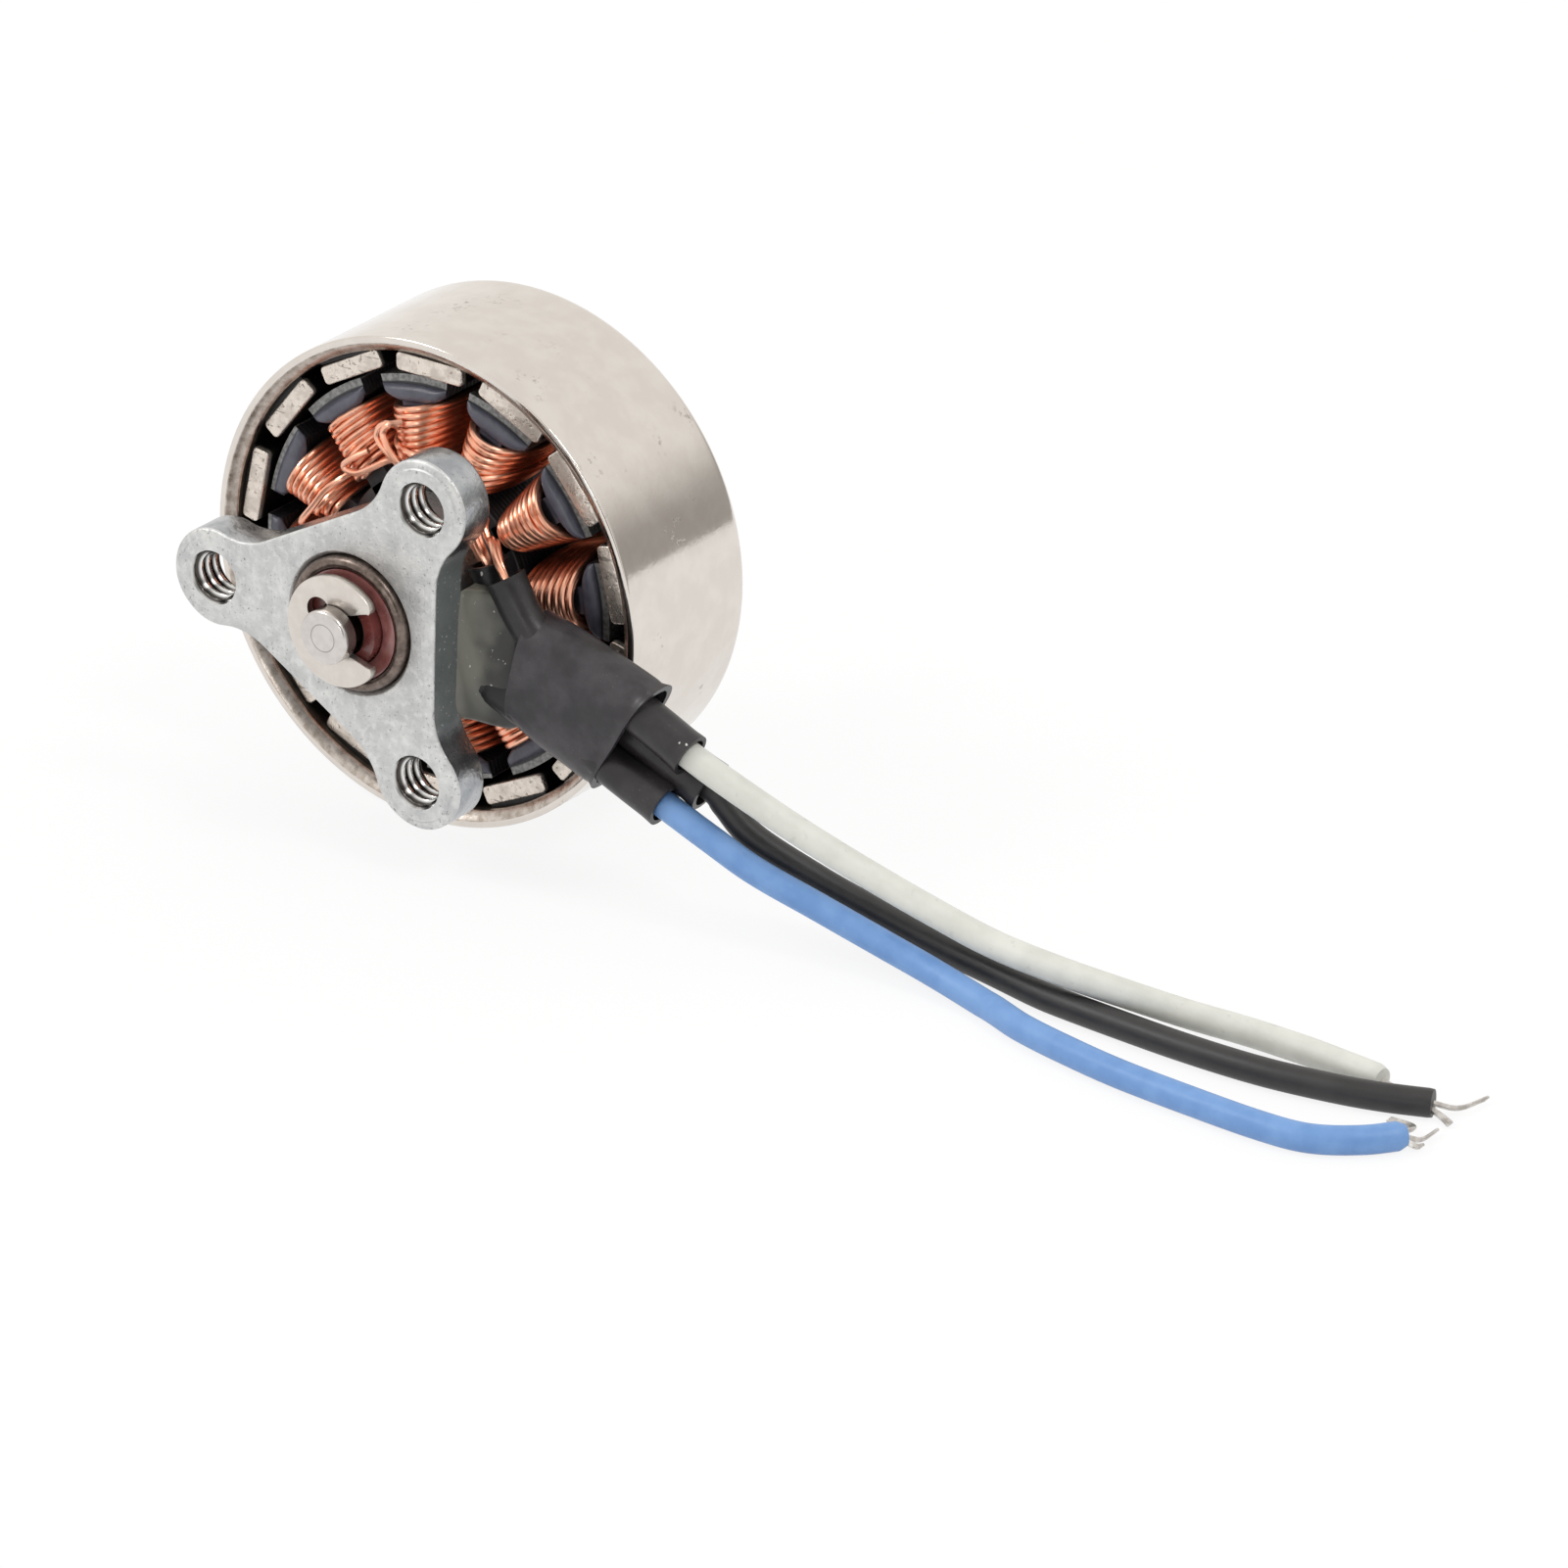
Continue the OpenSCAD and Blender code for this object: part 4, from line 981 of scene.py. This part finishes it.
def clip():
    """A closed section at each angle: inner edge, two faces and outer edge with rounded corners."""
    turn = np.linspace(TIP_TURN, 2 * np.pi - TIP_TURN, 241)
    off = np.abs(np.pi - np.abs(np.pi - turn))
    mouth = MOUTH_HALF / np.maximum(np.sin(off) - MOUTH_SPREAD * np.cos(off), 0.2)
    inner = np.where(off < np.pi / 2, np.maximum(mouth, GRIP_R), GRIP_R)
    from_notch = np.abs(off - NOTCH_TURN)
    reach = NOTCH_R**2 - (NOTCH_AT * np.sin(from_notch)) ** 2
    notch = NOTCH_AT * np.cos(from_notch) + np.sqrt(np.maximum(reach, 0))
    inner = np.where((reach > 0) & (from_notch < 1), notch, inner)
    open_by = np.clip((off - TIP_TURN) / TIP_SPAN, 0, 1)
    width = np.sqrt(np.maximum(1 - (1 - open_by) ** 2, 0.01))
    outer = TIP_MIDDLE + (CLIP_R - TIP_MIDDLE) * width
    inner = TIP_MIDDLE - (TIP_MIDDLE - inner) * width
    r = np.minimum(CLIP_ROUND, (outer - inner) / 2.2)
    cut = 1 - math.sqrt(0.5)
    bend = [(1, 0), (cut, cut), (0, 1)]
    quarters = ((inner, r, CLIP_FRONT, r, bend), (inner, r, CLIP_BACK, -r, bend[::-1]),
                (outer, -r, CLIP_BACK, -r, bend), (outer, -r, CLIP_FRONT, r, bend[::-1]))
    section = [polar(edge + inwards * a, turn, face + deeper * d)
               for edge, inwards, face, deeper, steps in quarters for a, d in steps]
    return capped(np.stack(section, axis=1))


piece("spring_clip", clip(), "rotor", "clip_steel", "retaining_clip", crease=38)

# %% Shaft
SHAFT_R, GROOVE_R = 1.0, 0.75
TAIL, OUTPUT = -1.52, 18.42
UNDERCUT = (11.47, 12.67)
GROOVE = (-0.88, -0.46)
shaft_profile = ([(0, TAIL), (0.4, TAIL), (0.83, TAIL)] + corner((0.87, TAIL + 0.13), 0.13, -90, 0, 6)
                 + [(SHAFT_R, TAIL + 0.2), (SHAFT_R, GROOVE[0] - 0.03), (0.97, GROOVE[0]),
                    (GROOVE_R, GROOVE[0]), (GROOVE_R, GROOVE[1]), (0.97, GROOVE[1]),
                    (SHAFT_R, GROOVE[1] + 0.03),
                    (SHAFT_R, UNDERCUT[0]), (GROOVE_R, UNDERCUT[0]), (GROOVE_R, UNDERCUT[1]),
                    (SHAFT_R, UNDERCUT[1])]
                 + corner((0.85, OUTPUT - 0.15), 0.15, 0, 90, 5) + [(0, OUTPUT)])
piece("motor_shaft", [lathe(shaft_profile)], "rotor", "ground_steel", "shaft")

# %% [markdown]
# ## Bell
#
# The bell is a pressed steel can, plated outside and painted dark inside as the shade in the can.
# The chamfer between is painted browner, as worn plating and as the reflection of that dark inside,
# so the bell takes three finishes. The skirt is a lathe. The closed end has six vents: each sits
# in a window of the end plate, and a ring of quads runs from the window's edge to the vent's, the
# one a rectangle in polar terms and the other a circle.

# %% Bell
BELL_R, SKIRT_R = 9.1, 8.5
RIM, END, FLOOR_Y = 4.22, 10.92, 10.32
NECK_R = 1.91
WINDOW_IN, WINDOW_OUT = 3.7, 6.7
VENT_AT, VENT_R = 5.187, 1.2
VENTS = 6
COLUMNS = 144
SIDE_STEPS = 12


def window_edge():
    """The edge of one window as (x, z), clockwise from its outer left corner."""
    half = math.pi / VENTS
    arc = np.linspace(-half, half, COLUMNS // VENTS, endpoint=False)
    rise = np.linspace(WINDOW_OUT, WINDOW_IN, SIDE_STEPS, endpoint=False)
    full = np.ones_like
    back = WINDOW_IN + WINDOW_OUT - rise
    radius = np.concatenate([full(arc) * WINDOW_OUT, rise, full(arc) * WINDOW_IN, back])
    angle = np.concatenate([arc, full(rise) * half, -arc, full(rise) * -half])
    return polar(radius, angle, 0.0)[:, ::2]


def vent(k):
    """The end plate round one vent, and the vent's wall, from the outer face to the inner one."""
    edge = window_edge()
    away = edge - [VENT_AT, 0]
    away /= np.linalg.norm(away, axis=1)[:, None]
    steps = [(None, END), (VENT_R + 0.07, END), (VENT_R + 0.02, END - 0.02), (VENT_R, END - 0.07),
             (VENT_R, FLOOR_Y + 0.05), (VENT_R + 0.05, FLOOR_Y), (None, FLOOR_Y)]
    turn = k * 2 * math.pi / VENTS
    rows = [raised(turned(edge if r is None else [VENT_AT, 0] + r * away, turn), y) for r, y in steps]
    return grid(np.array(rows))


RIM_FLAT = 8.86
chamfer = [(SKIRT_R, RIM + 0.34), (SKIRT_R + 0.04, RIM + 0.24), (RIM_FLAT - 0.05, RIM + 0.03),
           (RIM_FLAT, RIM)]
outside = ([(RIM_FLAT, RIM)] + corner((BELL_R - 0.07, RIM + 0.07), 0.07, -90, 0, 4)
           + [(BELL_R, RIM + 0.15), (BELL_R, END - 0.5)]
           + corner((BELL_R - 0.35, END - 0.35), 0.35, 0, 90, 8) + [(WINDOW_OUT, END)])
inside_wall = [(SKIRT_R, RIM + 0.34), (SKIRT_R, FLOOR_Y - 0.3), (SKIRT_R - 0.09, FLOOR_Y - 0.09),
               (SKIRT_R - 0.3, FLOOR_Y), (WINDOW_OUT, FLOOR_Y)]
middle = [(WINDOW_IN, END), (NECK_R + 0.05, END), (NECK_R, END - 0.05), (NECK_R, FLOOR_Y),
          (WINDOW_IN, FLOOR_Y)]
bell_patches = [lathe(outside, COLUMNS), lathe(chamfer, COLUMNS, paint=2),
                lathe(inside_wall, COLUMNS, paint=1), lathe(middle, COLUMNS)]
bell_patches += [vent(k) for k in range(VENTS)]
piece("bell_can", bell_patches, "rotor", "nickel_bell", "bell", crease=40,
      finishes=["nickel_bell", "shaded_bell_inside", "rim_wear_and_reflection"])

# %% [markdown]
# ## Magnets
#
# Fourteen plated blocks stand in the bell with dark gaps between them. A block is a stack of
# rounded rectangles: full size along its length, and drawn in a little at both ends.

# %% Magnets
MAGNETS = 14
MAGNET_W, MAGNET_T, MAGNET_LEN = 2.85, 0.7, 5.0
MAGNET_START = 4.7
MAGNET_BACK = math.sqrt((SKIRT_R - 0.05) ** 2 - (MAGNET_W / 2) ** 2)
MAGNET_TURN = math.radians(89.9)
BLOCK_ROUND = 0.17
EDGE_SOFT = 0.06


def rounded_rectangle(half_w, half_t, radius):
    """Going round once from the right-hand side."""
    turn = np.radians(np.linspace(0, 90, 6))
    arc = radius * np.stack([np.cos(turn), np.sin(turn)], axis=-1) + [half_w - radius, half_t - radius]
    left = arc[::-1] * [-1, 1]
    return np.vstack([arc, left, arc * [-1, -1], left * [-1, -1]])


def block():
    """A block with its width along the first axis, thickness along the second, length along the third."""
    rings = []
    for turn in np.linspace(0, math.pi / 2, 4):
        inset, rise = EDGE_SOFT * (1 - math.sin(turn)), EDGE_SOFT * (1 - math.cos(turn))
        plan = rounded_rectangle(MAGNET_W / 2 - inset, MAGNET_T / 2 - inset, BLOCK_ROUND - inset * 0.5)
        rings.append(np.column_stack([plan, np.full(len(plan), rise)]))
    far = [np.column_stack([r[:, :2], MAGNET_LEN - r[:, 2]]) for r in rings[::-1]]
    return np.array(rings + far)


chips = np.random.default_rng(14)
wide, thick, long = np.moveaxis(block(), -1, 0)
for k in range(MAGNETS):
    lean, slip = chips.normal(0, 0.012), chips.normal(0, 0.03)
    radial = MAGNET_BACK - MAGNET_T / 2 + thick + lean * wide
    angle = MAGNET_TURN + k * 2 * math.pi / MAGNETS
    level = turned(np.stack([radial, wide + slip], axis=-1), angle)
    rings = raised(level, MAGNET_START + long + chips.normal(0, 0.03))
    piece(f"magnet_block_{k + 1}", capped(rings), "rotor", "magnet_nickel", f"magnet_{k + 1}")

# %% [markdown]
# ## Stator coating
#
# The stack is dipped in a thick blue-grey coating that pulls back from the edges, so each tooth tip
# carries a lens-shaped pad and a bare rim of sheet edges shows outside it. The pad is a pillow over
# two parameters: one runs along the tip, one from its inner to its outer edge.

# %% Coated tips and yoke
TEETH = 12
TOOTH_TURN = math.radians(6.8)
STACK_START, STACK_END = 5.0, 8.6
COAT = 0.15
PAD_OUT, PAD_IN = 7.13, 6.41
PAD_END = 0.14
PAD_HALF = math.radians(11.2)
PAD_EDGE, PAD_RISE = 0.03, 0.22
# Teeth whose pad runs out to the edge of the tip
SPREAD_PADS = (5, 6, 9)
ARM = np.array([[3.5, -0.5], [6.6, -0.5], [6.6, 0.5], [3.5, 0.5]])


def tooth_turn(k):
    """The first tooth's angle, and a twelfth of a turn for each tooth after it."""
    return TOOTH_TURN + k * 2 * math.pi / TEETH


def pad(face, way, grown):
    """One pad on the stack's face; way is the side it stands out to and grown how far it spread."""
    across = np.linspace(-1, 1, 33)[None, :]
    inwards = np.linspace(0, 1, 13)[:, None]
    lens = 0.75 * (1 - np.abs(across) ** 2.2) + 0.25 * np.sqrt(np.maximum(1 - across**4, 0))
    inner = PAD_OUT - PAD_END - (PAD_OUT - PAD_END - PAD_IN) * lens
    outer = PAD_OUT + grown + (0.06 - 0.3 * grown) * across**4
    radius = outer + (inner - outer) * inwards
    crown = (1 - np.abs(2 * inwards - 1) ** 3.0) * (1 - np.abs(across) ** 8)
    return radius, across * PAD_HALF, face + way * (PAD_EDGE + PAD_RISE * crown)


def border(points):
    """The edge of a grid of points, going round once."""
    return np.concatenate([points[0], points[1:, -1], points[-1, -2::-1], points[-2:0:-1, 0]])


def coat_plan(face, way):
    """The twelve pads, the arms under the coils and the ring round the yoke, on one face."""
    patches = []
    skin = face + way * COAT
    for k in range(TEETH):
        radius, angle, along = pad(face, way, 0.19 if k in SPREAD_PADS else 0.0)
        top = polar(radius, angle + tooth_turn(k), along)
        base = polar(radius, angle + tooth_turn(k), face)
        wall = np.stack([border(top), border(base)])
        patches += [grid(top, wrap=False), grid(base, wrap=False), grid(wall)]
        arm = turned(ARM, tooth_turn(k))
        patches += capped(np.array([raised(arm, face), raised(arm, skin)]))
    patches.append(lathe([(3.12, face), (3.12, skin), (3.86, skin), (3.91, face + way * 0.1),
                          (3.91, face), (3.12, face)]))
    return patches


for place, face, way in (("rear", STACK_START, -1), ("front", STACK_END, 1)):
    piece(place + "_coating", coat_plan(face, way), "stator", "stator_coating", place + "_insulation",
          crease=50)

# %% [markdown]
# ## Coils
#
# A winding machine lays the wire in layers round each tooth, and the last layer is never neat. Each
# coil here is two unbroken helices, one over the other, and some have a few loose turns on top. A
# point on a turn has an angle round the tooth and a distance out from the shaft. The turn's outline
# is a rounded rectangle, made by raising sine and cosine to a power below one, and a seeded wander
# keeps every coil different. The slant of each coil follows the photo.

# %% Wound coils
COIL_IN, COIL_OUT = 4.21, 6.5
COIL_HALF_ANGLE = math.radians(13.3)
COIL_HALF_LEN = 2.8
STACK_MID = 6.8
WIRE_R = 0.124
BEND_POWER = 0.9
TURN_STEPS = 48


def bent(v, power=BEND_POWER):
    """A sine or cosine drawn towards the corners of a rounded rectangle."""
    return np.sign(v) * np.abs(v) ** power


def winding(first, last, turns, side_in, crown_in, slant, dice):
    """One layer as (outwards, sideways, along): a helix that starts and ends behind the tooth.

    first and last are how far out its first and last turns cross the near crown, and slant is how
    much further out a turn is at its right side than at its middle.
    """
    a = np.linspace(0, 2 * np.pi * turns, turns * TURN_STEPS + 1) - np.pi / 2
    share = np.linspace(0, 1, len(a))
    pitch = (last - first) / max(turns - 1, 1)
    knots = np.linspace(0, 1, 2 * turns + 1)
    slip = np.interp(share, knots, dice.normal(0, 0.014, len(knots)))
    lift = np.interp(share, knots, dice.normal(0, 0.014, len(knots)))
    lean = np.interp(share, knots, dice.normal(slant, 0.022, len(knots)))
    reach = first - pitch / 2 + pitch * turns * share + slip
    out = np.clip(reach + lean * bent(np.cos(a)), COIL_IN + WIRE_R, COIL_OUT - WIRE_R / 2)
    barrel = 0.12 * ((reach - 5.35) / 1.1) ** 2
    crown = np.minimum(COIL_HALF_LEN - crown_in - barrel + lift, COIL_HALF_LEN - WIRE_R)
    half = out * math.tan(COIL_HALF_ANGLE) - side_in
    return np.stack([out, half * bent(np.cos(a)), crown * bent(np.sin(a))], axis=-1)


def on_tooth(local, k):
    """Turns (outwards, sideways, along) into a place in the motor."""
    return raised(turned(local[..., :2], tooth_turn(k)), STACK_MID - local[..., 2])


# Each coil's turns and slant, then its loose turns: number, first and last reach, slant
COILS = [(8, 0.0, 0), (9, 0.03, 0), (9, 0.0, 2, 4.62, 4.95, -0.5), (9, -0.1, 2, 4.95, 4.6, 0.26),
         (9, -0.14, 3, 4.5, 5.1, -0.3), (9, 0.12, 2, 4.85, 5.1, 0.3), (9, 0.05, 2, 5.0, 5.4, -0.2),
         (9, -0.06, 0), (9, 0.08, 2, 4.7, 5.0, 0.2), (9, -0.04, 0), (9, 0.05, 2, 4.6, 5.0, -0.25),
         (9, -0.05, 0)]
COIL_REACH = (4.36, 6.4)


def coil(k):
    """An under layer, a neat outer layer and, on some coils, a few loose turns on top."""
    dice = np.random.default_rng(100 + k)
    turns, slant, loose, *rest = COILS[k]
    first, last = COIL_REACH
    half_pitch = (last - first) / (turns - 1) / 2
    top = 0.30 if loose else 0.16
    layers = [(first + half_pitch, last - half_pitch, turns - 1, 3 * WIRE_R, top + 0.2, slant),
              (first, last, turns, WIRE_R * (2 if loose else 1), top, slant)]
    if loose:
        layers.append((rest[0], rest[1], loose, 0.6 * WIRE_R, WIRE_R, rest[2]))
    patches = []
    spoke = polar(1.0, tooth_turn(k), 0.0)
    for layer in layers:
        patches += sweep(on_tooth(winding(*layer, dice), k), WIRE_R, 10, spoke)
    return patches


for k in range(TEETH):
    piece(f"winding_{k + 1}", coil(k), "stator", "copper_wire", f"coil_{k + 1}")

# %% [markdown]
# ## Flat sleeve
#
# One wide shrink tube squeezes the three small ones flat. Its section is a slot with round ends,
# waisted a little between the sleeves, and it opens up at the far mouth.

# %% Flat sleeve
WRAP_AT = np.array([6.8, 2.6, -1.35])
WRAP_TURN = math.radians(20)
WRAP_START, WRAP_LEN = -1.0, 4.6
WRAP_HALF_H, WRAP_HALF_T = 2.1, 1.22
WRAP_SWELL = 0.28
WRAP_WALL = 0.24
REAR_SLANT, MOUTH_SLANT = -0.13, 0.19


def slot_section(half_h, half_t, waist):
    """(thickness, height) round a slot; waist draws the flat sides in at the middle."""
    a = around(72)
    t, h = half_t * bent(np.cos(a), 0.75), half_h * bent(np.sin(a), 0.7)
    return t * (1 - waist * np.exp(-(h / (0.45 * half_h)) ** 2)), h


def flat_sleeve():
    """The outer skin and then the bore, section by section, as one closed tube."""
    stations = np.concatenate([[0, 0.008, 0.02, 0.035], np.linspace(0.06, 0.94, 22),
                               [0.965, 0.98, 0.992, 1.0]])
    rows = []
    for wall in (0.0, WRAP_WALL):
        skin = []
        for s in stations if wall == 0 else stations[::-1]:
            rim = 0.05 * math.exp(-(s / 0.02) ** 2) + 0.08 * math.exp(-((1 - s) / 0.03) ** 2)
            rim -= 0.03 * math.exp(-((s - 0.93) / 0.02) ** 2)
            swell = WRAP_SWELL * (1 - math.exp(-4 * s)) + rim - wall
            t, h = slot_section(WRAP_HALF_H + swell, WRAP_HALF_T + rim - wall, 0.03 + 0.1 * s**3)
            dent = 0.02 * np.sin(h * 2.3 + s * 7) * np.sin(s * 5 + 1)
            slant = REAR_SLANT * (1 - s) + MOUTH_SLANT * s
            x = WRAP_START + s * WRAP_LEN + slant * h
            skin.append(np.stack([x, t + dent * (wall == 0), h], axis=-1))
        rows += skin
    rows.append(rows[0])
    local = np.array(rows)
    return [grid(WRAP_AT + raised(turned(local[..., ::2], -WRAP_TURN), local[..., 1]))]


piece("flat_sleeve", flat_sleeve(), "stator", "heat_shrink", "wrap_sleeve", crease=50)

# %% [markdown]
# ## Glue, wire ends and finishes of the rest
#
# A blob of glue holds the leads to the base. The bundles of wire that leave the coils are a few
# wires twisted round one path.

# %% Glue
# The glue in a cut across the leads, as (x, y): its face runs from the plate out to the sleeves
GLUE_CUT = [[3.5, 1.3], [3.72, 1.42], [4.1, 1.55], [4.6, 1.68], [5.2, 1.82], [5.75, 2.15], [5.6, 2.7],
            [4.6, 2.95], [3.9, 2.95], [3.5, 2.6], [3.45, 1.9]]
GLUE_LOW, GLUE_TOP = -3.3, 1.7
GLUE_MID = np.array([4.2, 2.2])


def glue():
    """The cut carried along Z, full almost to both ends and rounded off there."""
    cut = smooth([(x, y, 0) for x, y in GLUE_CUT + GLUE_CUT[:1]], 0.12)[:-1, :2]
    share = 0.5 - 0.5 * np.cos(np.pi * np.linspace(0, 1, 48)[:, None])
    full = (1 - np.abs(2 * share - 1) ** 7) ** 0.5
    across = np.arange(len(cut))[None, :]
    sag = 1 + 0.025 * np.sin(share * 9 + across * 0.3)
    x, y = (cut - GLUE_MID).T
    x = x * (0.6 + 0.4 * full) * sag
    y = y * (0.5 + 0.5 * full) * sag
    z = GLUE_LOW + (GLUE_TOP - GLUE_LOW) * share + 0.1 * x * (2 * share - 1)
    return capped(np.stack([GLUE_MID[0] + x, GLUE_MID[1] + y, z], axis=-1))


piece("glue_blob", glue(), "stator", "adhesive", "lead_adhesive", crease=80)

# %% Wire ends and jumpers
# Loose wires between the coils, seen above the base and beside its upper right lug
JUMPERS = [
    [[-0.6, 4.4, 4.2], [-0.77, 3.95, 4.44], [-1.07, 3.85, 4.74], [-1.4, 3.8, 5.06], [-1.6, 3.8, 5.38],
     [-1.47, 3.8, 5.75], [-1.17, 3.85, 5.93], [-0.9, 4.1, 5.8]],
    [[-0.4, 4.3, 4.1], [-0.6, 3.9, 4.39], [-0.97, 3.75, 4.89], [-1.18, 3.72, 5.29], [-1.3, 3.75, 5.59],
     [-1.1, 3.85, 5.9], [-0.8, 4.2, 5.95]],
    [[-1.0, 4.3, 4.5], [-1.33, 3.95, 4.44], [-1.9, 3.85, 4.08], [-2.55, 3.85, 3.73],
     [-3.03, 3.85, 3.73], [-3.11, 3.85, 3.93], [-2.75, 3.9, 4.24], [-2.23, 4.1, 4.55]],
    [[-5.3, 4.2, 1.0], [-5.09, 3.9, 1.32], [-4.46, 3.8, 2.07], [-3.92, 3.8, 2.77], [-3.43, 3.9, 3.2],
     [-3.1, 4.3, 3.5]],
    [[2.95, 4.0, 3.3], [3.2, 3.65, 2.97], [3.7, 3.55, 2.3], [4.2, 3.45, 1.68], [4.35, 3.3, 1.3]],
    [[2.5, 3.9, 2.9], [2.6, 3.45, 2.5], [2.88, 3.4, 2.44], [3.2, 3.4, 1.98], [3.76, 3.42, 1.49],
     [3.95, 3.3, 1.1]],
    [[2.7, 3.9, 2.9], [2.95, 3.48, 2.55], [3.25, 3.4, 2.1], [3.56, 3.42, 1.88], [3.97, 3.4, 1.55],
     [4.1, 3.3, 1.2]]]


BUNDLE, BUNDLE_R, BUNDLE_TWIST = 2, 0.12, 0.4
BUNDLE_GUIDE = (0.3, 0.2, 1.0)


def bundle(route, seed):
    """Wires twisted round one path, each at its own place in the bundle."""
    path = smooth(route, 0.15)
    share = np.linspace(0, 1, len(path))[:, None]
    dice = np.random.default_rng(seed)
    patches = []
    for k in range(BUNDLE):
        turn = 2 * np.pi * k / BUNDLE + BUNDLE_TWIST * share + dice.uniform(-0.3, 0.3)
        reach = BUNDLE_R * dice.uniform(0.7, 1.0)
        line = path + reach * spokes(path, turn, BUNDLE_GUIDE)[:, 0]
        patches += sweep(line, WIRE_R, 8, BUNDLE_GUIDE)
    return patches


tails = []
for k, (route, _, _) in enumerate(STOPS.values()):
    tails += bundle(route[:SLEEVE_START + 2], 7 + k)
for jumper in JUMPERS:
    tails += sweep(smooth(jumper, 0.12), WIRE_R, 10, (0.1, 1.0, 0.2))
piece("phase_wires", tails, "stator", "copper_wire", "phase_tails")

# %% CAD nodes that keep their own shape
# The shims and inner rings look as red as the seals in the photo, so they take that finish
REDDENED = ("shim_washers", "rear_bearing_inner_ring", "front_bearing_inner_ring")
for node in frame["record"]["subparts"]:
    part = frame["nodes"][node["node"]]
    if not part.hide_render:
        part.data.materials.clear()
        finish = "red_washer" if node["node"] in REDDENED else node["material_slot"]
        part.data.materials.append(FINISH[finish])
        print("kept", node["node"], finish)
